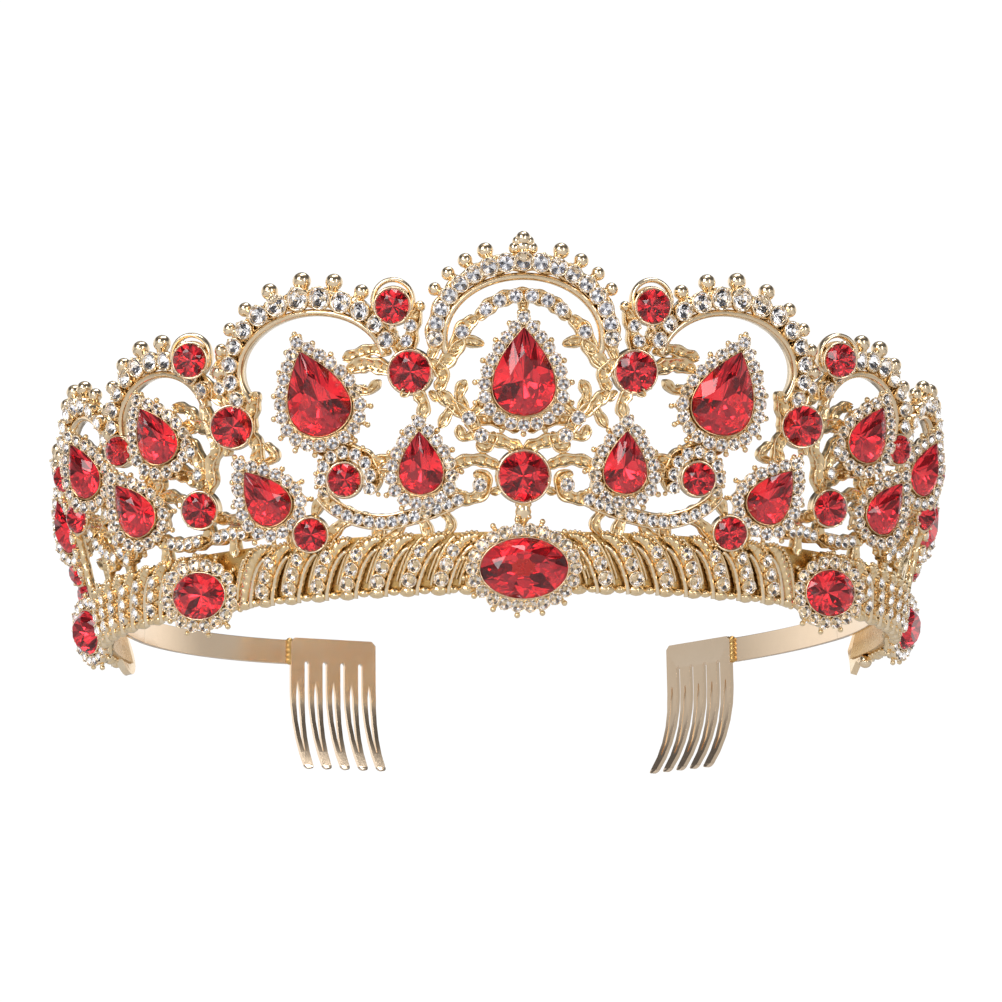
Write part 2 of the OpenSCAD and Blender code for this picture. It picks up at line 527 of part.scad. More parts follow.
// ---- red stones ----
module rounds(list) both_sides() for (p = list) seat(p[0], p[1], stone_out + 0.4)
    round_stone(p[2]);
module pears(list, w, l) both_sides() for (p = list) seat(p[0], p[1], stone_out + 0.6, p[2])
    pear_stone(w, l);
module round_stone_centre() color(ruby)
    at_wall(0, centre_round_s, stone_out + 0.4) round_stone(centre_round_d);
module round_stones_upper() color(ruby) rounds(upper_rounds);
module round_stones_lower() color(ruby) rounds(lower_rounds);
module pear_stone_centre() color(ruby)
    at_wall(0, centre_pear[1], stone_out + 0.6) pear_stone(pear_w, pear_l);
module pear_stones_large() color(ruby) pears([large_pear], pear_w, pear_l);
module drop_stones_front() color(ruby) pears(front_drops, drop_w, drop_l);
module drop_stones_side() color(ruby) pears(side_drops, drop_w, drop_l);

headband_strip();
arm_left();
arm_right();
comb_left();
comb_right();
comb_solder();
end_tabs();
base_band();
rope_ribs_front();
rope_ribs_left();
rope_ribs_right();
band_crystals_front();
band_crystals_sides();
oval_setting_centre();
oval_settings_mid();
oval_settings_side();
oval_halo_centre();
oval_halos_mid();
oval_halos_side();
oval_stone_centre();
oval_stones_mid();
oval_stones_side();
panel_centre();
panel_large_left();
panel_large_right();
panel_medium_left();
panel_medium_right();
panel_small_left();
panel_small_right();
panel_end_left();
panel_end_right();
vine_left();
vine_right();
centre_post();
pear_setting_centre();
pear_settings_large();
drop_settings_front();
drop_settings_side();
crystals_centre();
crystals_large();
crystals_medium();
crystals_small();
crystals_end();
finials_centre();
finials_large();
finials_medium();
finials_small();
finials_end();
loops_upper();
bezels_round();
round_stone_centre();
round_stones_upper();
round_stones_lower();
pear_stone_centre();
pear_stones_large();
drop_stones_front();
drop_stones_side();
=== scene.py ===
import math

import bpy
import numpy as np
from mathutils import Matrix, Vector


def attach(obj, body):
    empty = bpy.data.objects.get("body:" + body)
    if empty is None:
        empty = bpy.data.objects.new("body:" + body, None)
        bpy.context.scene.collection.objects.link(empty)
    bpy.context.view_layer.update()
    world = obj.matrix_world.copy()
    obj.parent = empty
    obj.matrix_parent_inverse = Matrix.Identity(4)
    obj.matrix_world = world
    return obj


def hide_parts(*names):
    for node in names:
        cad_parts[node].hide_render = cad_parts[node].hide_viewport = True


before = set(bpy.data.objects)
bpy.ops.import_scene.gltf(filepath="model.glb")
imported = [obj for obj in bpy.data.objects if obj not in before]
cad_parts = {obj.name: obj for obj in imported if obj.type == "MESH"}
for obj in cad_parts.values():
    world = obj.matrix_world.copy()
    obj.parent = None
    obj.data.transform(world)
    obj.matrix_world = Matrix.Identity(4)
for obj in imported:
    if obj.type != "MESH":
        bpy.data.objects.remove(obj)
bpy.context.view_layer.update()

# ---------------------------------------------------------------- sizes, in mm, as in the CAD
RING = 72.0
FLARE = math.radians(14)
PLATE_T = 1.5
STONE_OUT = 2.4
ROW_D, HALO_D = 2.3, 1.8
PIVOT = 2.5          # height over the wall that a turned setting pivots on
TURN_MAX = 24.0      # degrees that a side setting is turned toward the front
TURN_LIFT = 1.2      # how far a turned setting is raised, to clear the wall on its near side


def rad(a):
    return np.radians(a)


def rot(axis, degrees):
    return np.array(Matrix.Rotation(math.radians(degrees), 4, axis))


def shift(x, y, z):
    return np.array(Matrix.Translation((x, y, z)))


def wall(t, s, h=0.0):
    """A frame on the wall: X runs round the ring, Y up the wall, Z out of it."""
    r = RING + s * math.sin(FLARE) + h * math.cos(FLARE)
    return (
        rot("Z", t)
        @ shift(0, -r, s * math.cos(FLARE) - h * math.sin(FLARE))
        @ rot("X", 90 + math.degrees(FLARE))
    )


def turned(t):
    """How far a setting at the angle t is turned back toward the front."""
    return max(0.0, min((abs(t) - 8) * 1.2, TURN_MAX))


def seat(t, s, spin=0.0):
    """A frame on the wall for a setting, turned toward the front; spin turns it in its own plane."""
    f = turned(t)
    up = TURN_LIFT * min(f / TURN_MAX, max(0.0, min((80 - t) / 20, 1.0)))
    return wall(t, s, PIVOT + up) @ rot("Y", -f) @ shift(0, 0, -PIVOT) @ rot("Z", spin)


def laid(mid, p):
    """Lays [t, s] places onto the plane at the angle mid."""
    p = np.asarray(p, float)
    r = RING + p[:, 1] * math.sin(FLARE)
    d = rad(p[:, 0] - mid)
    return np.stack([r * np.sin(d), p[:, 1] - r * (1 - np.cos(d)) * math.sin(FLARE)], 1)


# ---------------------------------------------------------------- paths
def spline(p, k=8):
    p = np.asarray(p, float)
    if len(p) == 2:
        return p[0] + (p[1] - p[0]) * np.linspace(0, 1, k + 1)[:, None]
    out = []
    for i in range(len(p) - 1):
        a, b, c, d = p[max(i - 1, 0)], p[i], p[i + 1], p[min(i + 2, len(p) - 1)]
        u = np.arange(k)[:, None] / k
        out.append(
            0.5 * (2 * b + u * (c - a) + u**2 * (2 * a - 5 * b + 4 * c - d)
                   + u**3 * (3 * b - a - 3 * c + d))
        )
    return np.vstack(out + [p[-1:]])


def walk(p, pitch, closed=False):
    """Even places along a path; a closed path comes with its first place repeated."""
    p = np.asarray(p, float)
    far = np.concatenate([[0], np.cumsum(np.linalg.norm(np.diff(p, axis=0), axis=1))])
    n = max(1, int(round(far[-1] / pitch)))
    d = np.linspace(0, far[-1], n + 1)
    if closed:
        d = d[:-1]
    return np.stack([np.interp(d, far, p[:, k]) for k in range(p.shape[1])], 1)


def arch(c, a, b, g0, g1, n=48):
    g = rad(np.linspace(g0, g1, n + 1))
    return np.stack([c[0] + a * np.cos(g), c[1] + b * np.sin(g)], 1)


def pear(w, l, u):
    u = rad(u)
    return np.stack([w * 0.65 * np.sin(u) * np.sin(u / 2), l / 2 * np.cos(u)], -1)


def oval(w, l, u):
    u = rad(u)
    return np.stack([w / 2 * np.cos(u), l / 2 * np.sin(u)], -1)


def unit(v):
    return v / np.maximum(np.linalg.norm(v, axis=-1, keepdims=True), 1e-9)


def side_of(p, closed=False):
    if closed:
        d = np.roll(p, -1, 0) - np.roll(p, 1, 0)
    else:
        d = np.gradient(p, axis=0)
    d = unit(d)
    return np.stack([-d[:, 1], d[:, 0]], 1)


def grain(p, size, seed=0.0):
    """Smooth, repeatable unevenness in -1..1 for points in mm."""
    x, y, z = (p[..., i] / size * 6.283 for i in range(3))
    a = np.sin(x + 1.3 * np.sin(y * 0.9 + seed) + seed)
    b = np.sin(y * 1.13 + 1.1 * np.sin(z * 0.8 + 2 + seed))
    c = np.sin(z * 1.07 + 1.2 * np.sin(x * 0.7 + 4 + seed))
    return (a + b + c) / 3


# ---------------------------------------------------------------- collecting mesh
class Form:
    def __init__(self):
        self.v, self.f, self.m, self.sm, self.n = [], [], [], [], 0

    def add(self, v, faces):
        """faces is a list of (faces array, material, smooth) or one array."""
        if isinstance(faces, np.ndarray):
            faces = [(faces, 0, True)]
        for f, m, s in faces:
            if len(f):
                self.f.append(np.asarray(f) + self.n)
                self.m.append(np.full(len(f), m))
                self.sm.append(np.full(len(f), s))
        self.v.append(np.asarray(v, float))
        self.n += len(v)
        return self

    def many(self, template, places):
        v, faces = template
        h = np.c_[v, np.ones(len(v))]
        for M in places:
            self.add((h @ M.T)[:, :3], faces)
        return self

    def placed(self, M):
        out = Form()
        if not self.n:
            return out
        v = np.vstack(self.v)
        h = np.c_[v, np.ones(len(v))] @ M.T
        out.v, out.n = [h[:, :3]], len(v)
        flip = np.linalg.det(M[:3, :3]) < 0
        out.f = [f[:, ::-1] if flip else f for f in self.f]
        out.m, out.sm = list(self.m), list(self.sm)
        return out

    def mirrored(self):
        return self.placed(np.diag([-1.0, 1, 1, 1]))

    def both(self):
        return self.join(self.mirrored())

    def join(self, other):
        out = Form()
        off = self.n
        out.v = self.v + other.v
        out.f = self.f + [f + off for f in other.f]
        out.m = self.m + other.m
        out.sm = self.sm + other.sm
        out.n = self.n + other.n
        return out


def show(name, form, mats, slot, *nodes):
    """Makes one piece from a Form; nodes are the CAD nodes that it stands for."""
    v = np.vstack(form.v) / 1000
    me = bpy.data.meshes.new(name)
    sizes = np.concatenate([np.full(len(f), f.shape[1]) for f in form.f])
    loops = np.concatenate([f.ravel() for f in form.f])
    me.vertices.add(len(v))
    me.vertices.foreach_set("co", v.ravel())
    me.loops.add(len(loops))
    me.loops.foreach_set("vertex_index", loops.astype(np.int32))
    me.polygons.add(len(sizes))
    me.polygons.foreach_set("loop_start", np.concatenate([[0], np.cumsum(sizes)[:-1]]).astype(np.int32))
    me.polygons.foreach_set("loop_total", sizes.astype(np.int32))
    me.polygons.foreach_set("material_index", np.concatenate(form.m).astype(np.int32))
    me.polygons.foreach_set("use_smooth", np.concatenate(form.sm).astype(bool))
    me.update(calc_edges=True)
    me.validate()
    for m in mats:
        me.materials.append(m)
    o = bpy.data.objects.new(name, me)
    bpy.context.scene.collection.objects.link(o)
    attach(o, "root")
    if nodes:
        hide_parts(*nodes)


def rings(n, k, closed_k=True, closed_n=False):
    """Quads of an n by k grid of points."""
    i = np.arange(n if closed_n else n - 1)[:, None]
    j = np.arange(k if closed_k else k - 1)[None, :]
    a, b = i * k + j, i * k + (j + 1) % k
    c, d = ((i + 1) % n) * k + (j + 1) % k, ((i + 1) % n) * k + j
    return np.stack([a, b, c, d], -1).reshape(-1, 4)


def sweep(form, path, sect, M, closed=False):
    """path (n,2) in the plane, sect (n,k,2) of sideways and upward sizes, clockwise seen along the path."""
    n, k = sect.shape[:2]
    nn = side_of(path, closed)
    xy = path[:, None, :] + nn[:, None, :] * sect[:, :, :1]
    v = np.concatenate([xy, sect[:, :, 1:]], -1).reshape(-1, 3)
    f = [(rings(n, k, True, closed), 0, True)]
    if not closed:
        mid0, mid1 = v[:k].mean(0), v[-k:].mean(0)
        base = len(v)
        v = np.vstack([v, mid0, mid1])
        j = np.arange(k)
        f.append((np.stack([np.full(k, base), (j + 1) % k, j], 1), 0, True))
        e = (n - 1) * k
        f.append((np.stack([np.full(k, base + 1), e + j, e + (j + 1) % k], 1), 0, True))
    h = np.c_[v, np.ones(len(v))] @ M.T
    form.add(h[:, :3], f)


def lathe(profile, n=12):
    """Template turned round Z from (r, z) pairs, bottom to top."""
    p = np.asarray(profile, float)
    a = rad(np.arange(n) * 360 / n)
    v = np.stack([p[:, None, 0] * np.cos(a), p[:, None, 0] * np.sin(a),
                  np.repeat(p[:, 1:2], n, 1)], -1).reshape(-1, 3)
    return v, [(rings(len(p), n), 0, True)]


def ball(r=1.0, n=10, m=7):
    g = rad(np.linspace(0.5, 179.5, m))
    return lathe(np.stack([r * np.sin(g), -r * np.cos(g)], 1), n)


BALL = ball()
BEAD = ball(n=7, m=5)


def dots(form, M, pts, r, z, template=None):
    """Balls at (x, y) places of the plane M; r and z may be lists."""
    r, z = np.broadcast_to(r, len(pts)), np.broadcast_to(z, len(pts))
    form.many(template or BEAD, [M @ shift(p[0], p[1], q) @ np.diag([s, s, s, 1.0])
                                 for p, s, q in zip(pts, r, z)])


# ---------------------------------------------------------------- cast filigree
def wire(form, M, path, r, z=0.9, closed=False, flat=1.0, k=8):
    """A plain polished wire, round or oval in section."""
    p = walk(path, 0.45, closed)
    a = rad(np.arange(k) * 360 / k)
    s = np.stack([r * np.cos(a), z + r * flat * np.sin(a)], 1)
    sweep(form, p, np.repeat(s[None], len(p), 0), M, closed)


def leaf(form, M, path, r, top=1.6, seed=0.0, pitch=1.9):
    """A chased leaf: raised smooth edges, a hollow with slanted veins, and a few beads along it."""
    step = 0.22
    p = walk(path, step)
    n = len(p)
    far = np.arange(n) * step
    end = np.minimum(far, far[-1] - far)
    w = r * (1.16 + 0.15 * np.cos(2 * math.pi * far / (1.5 * pitch) + seed))
    w *= 0.22 + 0.78 * np.sqrt(np.clip(end / (1.1 * r), 0, 1))
    u = np.array([-1, -0.95, -0.84, -0.7, -0.5, -0.22, 0.22, 0.5, 0.7, 0.84, 0.95, 1])
    edge = np.exp(-(((np.abs(u) - 0.76) / 0.16) ** 2))
    hollow = np.exp(-((u / 0.42) ** 2))
    vein = np.cos(2 * math.pi * (far[:, None] / (pitch * 0.85) - 0.7 * u[None]) + seed)
    hgt = top * (0.62 + 0.4 * edge)[None] - 0.12 * hollow[None]
    hgt = hgt + 0.16 * vein * (hollow * 0.9 + 0.1)[None]
    hgt[:, [0, -1]] = 0.35
    x = w[:, None] * u[None]
    back = np.stack([np.stack([w * 0.8, np.zeros(n)], 1), np.stack([-w * 0.8, np.zeros(n)], 1)], 1)
    sect = np.concatenate([np.stack([x, hgt], -1), back], 1)
    q = np.stack([p[:, None, 0] + x * 0.9, p[:, None, 1] + x * 0.4, hgt], -1)
    sect[:, 1:11, 1] += 0.05 * grain(q[:, 1:11], 1.6, seed)
    sweep(form, p, sect[:, ::-1], M)
    if r > 0.8:
        b = walk(p, 1.15)[1:-1]
        if len(b):
            dots(form, M, b, 0.2 * r, top * 0.66)


def rim(form, M, path, r):
    """The polished inner rim of an arch: a smooth band, rounded in front and flat behind."""
    p = walk(path, 0.5)
    a = rad(np.linspace(0, 180, 8))
    s = np.concatenate([np.stack([r * np.cos(a), 1.15 + 0.75 * np.sin(a)], 1), [[-r, 0.0], [r, 0.0]]])
    sweep(form, p, np.repeat(s[None], len(p), 0), M)


# A collet for a crystal of diameter 1: its own wall and four claws
def collet(n=14):
    v, f = lathe([(0.3, -0.62), (0.46, -0.56), (0.53, -0.3), (0.56, 0.0), (0.54, 0.06), (0.505, 0.06),
                  (0.49, 0.0), (0.46, -0.12), (0.3, -0.2)], n)
    form = Form().add(v, f)
    for i in range(4):
        g = rad(45 + 90 * i)
        form.many(ball(1, 6, 5), [shift(0.51 * math.cos(g), 0.51 * math.sin(g), 0.07)
                                  @ np.diag([0.1, 0.1, 0.1, 1])])
    return np.vstack(form.v), list(zip(form.f, form.m, form.sm))


COLLET = collet()


def gem(outline, n, centre, crown, depth, table, girdle=0.05, step=2):
    """A cut stone: outline(u) in degrees, n main facets, heights in mm.

    Material 0 is glass, 1 the foil on the back, 2 a darker foil on one back facet in every few: painted
    shade.
    """
    c = np.array(centre, float)
    G = np.array([outline(180.0 * i / n) for i in range(2 * n)])
    T = c + (np.array([outline(360.0 * k / n) for k in range(n)]) - c) * table
    half = np.array([outline(360.0 * (k + 0.5) / n) for k in range(n)]) - c
    S = c + half * ((1 + table) / 2)
    L = c + half * 0.46
    up = lambda q, z: np.c_[q, np.full(len(q), float(z))]
    v = np.vstack([up(T, crown), up(S, crown * 0.62), up(G, 0), up(G, -girdle),
                   up(L, -girdle - depth * 0.62), [[c[0], c[1], -girdle - depth]]])
    t, s, g, d, l, q = 0, n, 2 * n, 4 * n, 6 * n, 7 * n
    k = np.arange(n)
    k1, e0, e1, e2 = (k + 1) % n, 2 * k, 2 * k + 1, (2 * k + 2) % (2 * n)
    km = (k - 1) % n
    tri = np.concatenate([
        np.stack([t + k, s + k, t + k1], 1),
        np.stack([t + k, g + e0, s + k], 1), np.stack([t + k, s + km, g + e0], 1),
        np.stack([s + k, g + e0, g + e1], 1), np.stack([s + k, g + e1, g + e2], 1)])
    back = np.concatenate([
        np.stack([np.full(n, q), l + k, d + e0], 1), np.stack([np.full(n, q), d + e0, l + km], 1),
        np.stack([l + k, d + e1, d + e0], 1), np.stack([l + k, d + e2, d + e1], 1)])
    # Painted shade: one back facet in every few gets the darker foil.
    dark = np.tile(np.arange(n) % step == 1, 2)
    dark = np.concatenate([dark, np.arange(n) % (step + 1) == 0, np.arange(n) % (step + 1) == 1])
    j = np.arange(2 * n)
    band = np.stack([g + j, d + j, d + (j + 1) % (2 * n), g + (j + 1) % (2 * n)], 1)
    return v, [((t + k)[None], 0, False), (tri, 0, False), (band, 0, False),
               (back[~dark], 1, False), (back[dark], 2, False)]


def outward(template):
    """Turns every face so that it looks away from the middle of the stone."""
    v, faces = template
    mid = v.mean(0)
    out = []
    for f, m, s in faces:
        a, b, c = v[f[:, 0]], v[f[:, 1]], v[f[:, 2]]
        wrong = np.einsum("ij,ij->i", np.cross(b - a, c - a), (a + b + c) / 3 - mid) < 0
        f = f.copy()
        f[wrong] = f[wrong][:, ::-1]
        out.append((f, m, s))
    return v, out


def round_gem(d, n=8, crown=0.18, depth=0.36, table=0.55):
    return outward(gem(lambda u: oval(d, d, u), n, (0, 0), crown * d, depth * d, table, 0.04 * d))


def pear_gem(w, l, n=8):
    return outward(gem(lambda u: pear(w, l, u), n, (0, -0.1 * l), 0.2 * w, 0.34 * w, 0.52, 0.04 * w, 4))


def oval_gem(w, l, n=8):
    m = min(w, l)
    return outward(gem(lambda u: oval(w, l, u), n, (0, 0), 0.2 * m, 0.36 * m, 0.62, 0.04 * m, 3))


CRYSTAL = round_gem(1.0, 6, 0.2, 0.42, 0.5)


class Setter:
    """Collects small crystals and their collets."""

    def __init__(self):
        self.stones, self.cups = Form(), Form()
        self.count = 0

    def at(self, M, pts, d, lift):
        pts = np.atleast_2d(pts)
        d = np.broadcast_to(d, len(pts))
        for p, size in zip(pts, d):
            self.count += 1
            turn = (self.count * 37) % 45
            size = size * 1.1
            lean = 7 * math.sin(self.count * 2.4)
            A = (M @ shift(p[0], p[1], lift) @ rot("X", lean) @ rot("Y", 5 * math.sin(self.count * 1.7))
                 @ rot("Z", turn) @ np.diag([size, size, size, 1.0]))
            self.stones.many(CRYSTAL, [A])
            self.cups.many(COLLET, [A])

    def on_plate(self, mid, pts, d):
        self.at(wall(mid, 0), pts, d, PLATE_T + 0.75)

    def path(self, mid, p, pitch, d):
        self.on_plate(mid, walk(laid(mid, spline(p)), pitch), d)

    def row(self, mid, c, a, b, g0, g1, n, grow):
        g = np.linspace(g0, g1, n + 1)
        p = laid(mid, np.stack([c[0] + a * np.cos(rad(g)), c[1] + b * np.sin(rad(g))], 1))
        self.on_plate(mid, p, ROW_D + grow * np.maximum(np.sin(rad(g)), 0) ** 3)

    def halo(self, c, w, l):
        ring = walk(pear(w + 2.8, l + 3.2, np.linspace(0, 360, 73)), 2.1, True)
        self.at(seat(*c), ring, HALO_D, 2.8)


# ---------------------------------------------------------------- finishes
def material(name):
    m = bpy.data.materials.new(name)
    m.use_nodes = True
    nt = m.node_tree
    return m, nt, nt.nodes["Principled BSDF"]


def node(nt, kind, **values):
    n = nt.nodes.new(kind)
    for k, v in values.items():
        if k in n.inputs:
            n.inputs[k].default_value = v
        else:
            setattr(n, k, v)
    return n


def ramp(nt, source, stops):
    r = nt.nodes.new("ShaderNodeValToRGB")
    while len(r.color_ramp.elements) < len(stops):
        r.color_ramp.elements.new(0.5)
    for e, (p, c) in zip(r.color_ramp.elements, stops):
        e.position, e.color = p, (*c, 1) if len(c) == 3 else c
    nt.links.new(source, r.inputs[0])
    return r.outputs[0]


def gold(name, light, mid, deep, rough, spread, bump, scale):
    """Plated gold with a fine cast skin: amber in hollows (painted shade) and paler on raised places
    (painted highlight).
    """
    m, nt, b = material(name)
    where = node(nt, "ShaderNodeTexCoord").outputs["Object"]
    fine = node(nt, "ShaderNodeTexNoise", Scale=scale, Detail=3.0, Roughness=0.6)
    broad = node(nt, "ShaderNodeTexNoise", Scale=scale * 0.16, Detail=2.0, Roughness=0.5)
    for t in (fine, broad):
        nt.links.new(where, t.inputs["Vector"])
    geo = node(nt, "ShaderNodeNewGeometry")
    # Painted shade and highlight: concave places take the deep colour, convex places the light one.
    hollow_shade_and_ridge_highlight = ramp(nt, geo.outputs["Pointiness"], [(0.40, deep), (0.485, mid), (0.52, mid), (0.60, light)])
    tone = ramp(nt, broad.outputs["Fac"], [(0.35, mid), (0.65, light)])
    mix = node(nt, "ShaderNodeMix", data_type="RGBA", blend_type="MIX")
    mix.inputs[0].default_value = 0.3
    nt.links.new(hollow_shade_and_ridge_highlight, mix.inputs[6])
    nt.links.new(tone, mix.inputs[7])
    nt.links.new(mix.outputs[2], b.inputs["Base Color"])
    r = ramp(nt, fine.outputs["Fac"], [(0.3, (rough,) * 3), (0.75, (rough + spread,) * 3)])
    nt.links.new(r, b.inputs["Roughness"])
    bp = node(nt, "ShaderNodeBump", Strength=bump, Distance=0.00012)
    nt.links.new(fine.outputs["Fac"], bp.inputs["Height"])
    nt.links.new(bp.outputs["Normal"], b.inputs["Normal"])
    b.inputs["Metallic"].default_value = 1.0
    return m


def stone_glass(name, tint, tint2, ior, rough):
    m, nt, b = material(name)
    where = node(nt, "ShaderNodeTexCoord").outputs["Object"]
    n = node(nt, "ShaderNodeTexNoise", Scale=160.0, Detail=1.0)
    nt.links.new(where, n.inputs["Vector"])
    nt.links.new(ramp(nt, n.outputs["Fac"], [(0.35, tint), (0.65, tint2)]), b.inputs["Base Color"])
    b.inputs["Transmission Weight"].default_value = 1.0
    b.inputs["IOR"].default_value = ior
    b.inputs["Roughness"].default_value = rough
    return m


# A foil behind a stone. It also glows with its own colour at the strength glow: painted light, as the foil
# is no lamp.
def foil(name, a, c, rough, glow):
    m, nt, b = material(name)
    where = node(nt, "ShaderNodeTexCoord").outputs["Object"]
    n = node(nt, "ShaderNodeTexNoise", Scale=300.0, Detail=2.0)
    nt.links.new(where, n.inputs["Vector"])
    tone = ramp(nt, n.outputs["Fac"], [(0.35, a), (0.65, c)])
    nt.links.new(tone, b.inputs["Base Color"])
    nt.links.new(tone, b.inputs["Emission Color"])
    b.inputs["Emission Strength"].default_value = glow
    b.inputs["Metallic"].default_value = 1.0
    b.inputs["Roughness"].default_value = rough
    return m


CAST = gold("cast gold", (0.99, 0.81, 0.54), (0.87, 0.63, 0.34), (0.36, 0.17, 0.045), 0.13, 0.14, 0.35,
            1500)
# A darker gold for the base band behind the ribs: painted shade in the gaps between the ribs.
GAP_SHADE_GOLD = gold("band gold darkened as painted gap shade", (0.78, 0.55, 0.26), (0.62, 0.38, 0.13), (0.4, 0.2, 0.06), 0.2, 0.2, 0.5,
             1500)
RIM = gold("polished gold", (0.99, 0.83, 0.6), (0.92, 0.7, 0.44), (0.5, 0.28, 0.1), 0.08, 0.08, 0.12, 900)
STRIP = gold("strip gold", (0.95, 0.77, 0.58), (0.9, 0.7, 0.5), (0.6, 0.42, 0.2), 0.14, 0.1, 0.1, 500)
SOLDER = gold("solder", (0.85, 0.62, 0.3), (0.7, 0.42, 0.14), (0.4, 0.2, 0.05), 0.25, 0.2, 0.6, 1200)
RUBY = stone_glass("ruby glass", (0.91, 0.04, 0.065), (0.94, 0.055, 0.08), 1.56, 0.0)
# The foils glow a little of their own colour: painted light.
RUBY_FOIL = foil("ruby foil", (0.98, 0.5, 0.5), (0.92, 0.36, 0.4), 0.05, 0.18)
# A darker copy of the ruby foil: painted shade for one back facet in every few.
RUBY_FOIL_SHADE = foil("ruby foil in shadow", (0.3, 0.06, 0.09), (0.22, 0.04, 0.06), 0.05, 0.1)
CLEAR = stone_glass("clear glass", (0.99, 0.99, 0.995), (0.97, 0.975, 0.99), 1.6, 0.0)
# The silver foil glows strongly: painted light that makes the crystals read white.
CLEAR_FOIL = foil("silver foil", (0.98, 0.98, 0.99), (0.92, 0.92, 0.94), 0.03, 0.5)
# A darker copy of the silver foil: painted shade for one back facet in every few.
CLEAR_FOIL_SHADE = foil("silver foil in shadow", (0.2, 0.2, 0.22), (0.12, 0.12, 0.14), 0.03, 0.04)

RUBY_SET = [RUBY, RUBY_FOIL, RUBY_FOIL_SHADE]
CLEAR_SET = [CLEAR, CLEAR_FOIL, CLEAR_FOIL_SHADE]

# ---------------------------------------------------------------- layout of the right half
centre_arch, large_arch, medium_arch = (0, 41), (24.4, 38), (46.8, 33)
small_arch, end_arch = (65.3, 31), (83, 26)
centre_pear, large_pear = (0, 35.8, 0), (23.6, 34, -14)
front_drops = [(11.9, 21.6, 0), (31.6, 18.2, -30)]
side_drops = [(46.7, 31.4, -18), (53.5, 20.2, -26), (64.4, 29.7, -14), (82.6, 24.1, -8)]
upper_rounds = [(14.1, 46.9, 5.4), (12.6, 36.2, 6.6), (39.2, 42.2, 5.4), (34.7, 30.2, 6.6),
                (54.2, 30.4, 4.8), (74.6, 31, 4.8)]
lower_rounds = [(21.1, 19.6, 5.2), (26, 11.2, 5.2), (41.4, 17.5, 5.8), (71.7, 22.8, 5.2),
                (88.5, 16.6, 4.8), (93.6, 13.4, 4.8)]
ovals = {"centre": ((0, 4.3), 14, 9.6), "mid": ((43.6, 3.5), 9, 7.6), "side": ((85.8, 4.6), 9, 8)}


def leaves(form, mid, items, seed=0.0):
    """items are (path, half width) or (path, half width, top)."""
    for i, it in enumerate(items):
        top = it[2] if len(it) > 2 else 1.6
        leaf(form, wall(mid, 0), laid(mid, spline(it[0])), it[1], top=top, seed=seed + 1.7 * i)


def arch_bed(form, rims, mid, c, a, b, g0, g1):
    """The bed of a crystal row with its scalloped outer edge, and the polished rim inside it."""
    rim(rims, wall(mid, 0), laid(mid, arch(c, a - 1.05, b - 2.35, g0 - 4, g1 + 4)), 0.62)
    leaf(form, wall(mid, 0), laid(mid, arch(c, a, b - 0.1, g0, g1)), 1.3, top=1.2, pitch=2.6, seed=0.4)


def ball_edge(form, mid, c, a, b, g0, g1, pitch, r):
    p = walk(laid(mid, arch(c, a, b, g0, g1)), pitch)
    dots(form, wall(mid, 0), p, r, 1.2, BALL)


# A finial: a ball on a short waisted neck with a collar; Z is its axis
def finial(r):
    p = [(0.0, -0.7), (1.0, -0.7), (1.12, -0.1), (0.86, 0.15), (r * 0.72, 0.2 + r * 0.12)]
    p += [(r * 1.1 * math.sin(g), 0.3 + r * 1.05 - r * 1.05 * math.cos(g))
          for g in rad(np.linspace(42, 179, 9))]
    return lathe(p, 14)


def finial_row(form, mid, c, a, b, angles, r):
    for g in angles:
        p, q = laid(mid, [[c[0] + a * math.cos(rad(g)), c[1] + b * math.sin(rad(g))], c])
        d = p - q
        M = (wall(mid, 0) @ shift(p[0], p[1], PLATE_T / 2)
             @ rot("Z", math.degrees(math.atan2(d[1], d[0])) - 90) @ rot("X", -90))
        form.many(finial(r + 0.35 * max(math.sin(rad(g)), 0) ** 6), [M])


# ---- headband, arms, combs and solder keep the CAD's own shape, with softened edges
def softened(name, node_name, mats, width):
    o = bpy.data.objects.new(name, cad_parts[node_name].data.copy())
    bpy.context.scene.collection.objects.link(o)
    me = o.data
    me.materials.clear()
    for m in mats:
        me.materials.append(m)
    me.polygons.foreach_set("material_index", np.zeros(len(me.polygons), np.int32))
    w = o.modifiers.new("w", "WELD")
    w.merge_threshold = 1e-6
    b = o.modifiers.new("b", "BEVEL")
    b.width, b.segments, b.limit_method, b.angle_limit = width, 2, "ANGLE", math.radians(35)
    b.harden_normals = False
    for p in me.polygons:
        p.use_smooth = True
    n = o.modifiers.new("n", "WEIGHTED_NORMAL")
    n.keep_sharp = False
    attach(o, "root")
    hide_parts(node_name)


for part in ("headband_strip", "arm_left", "arm_right", "comb_left", "comb_right"):
    softened("look_" + part, part, [STRIP], 0.00014)
# The base band takes the darker band gold, painted shade for the gaps between the ribs.
for part, mat, slot_name in (("comb_solder", SOLDER, "solder"), ("end_tabs", RIM, "cast_gold"),
                             ("base_band", GAP_SHADE_GOLD, "cast_gold")):
    softened("look_" + part, part, [mat], 0.00012)


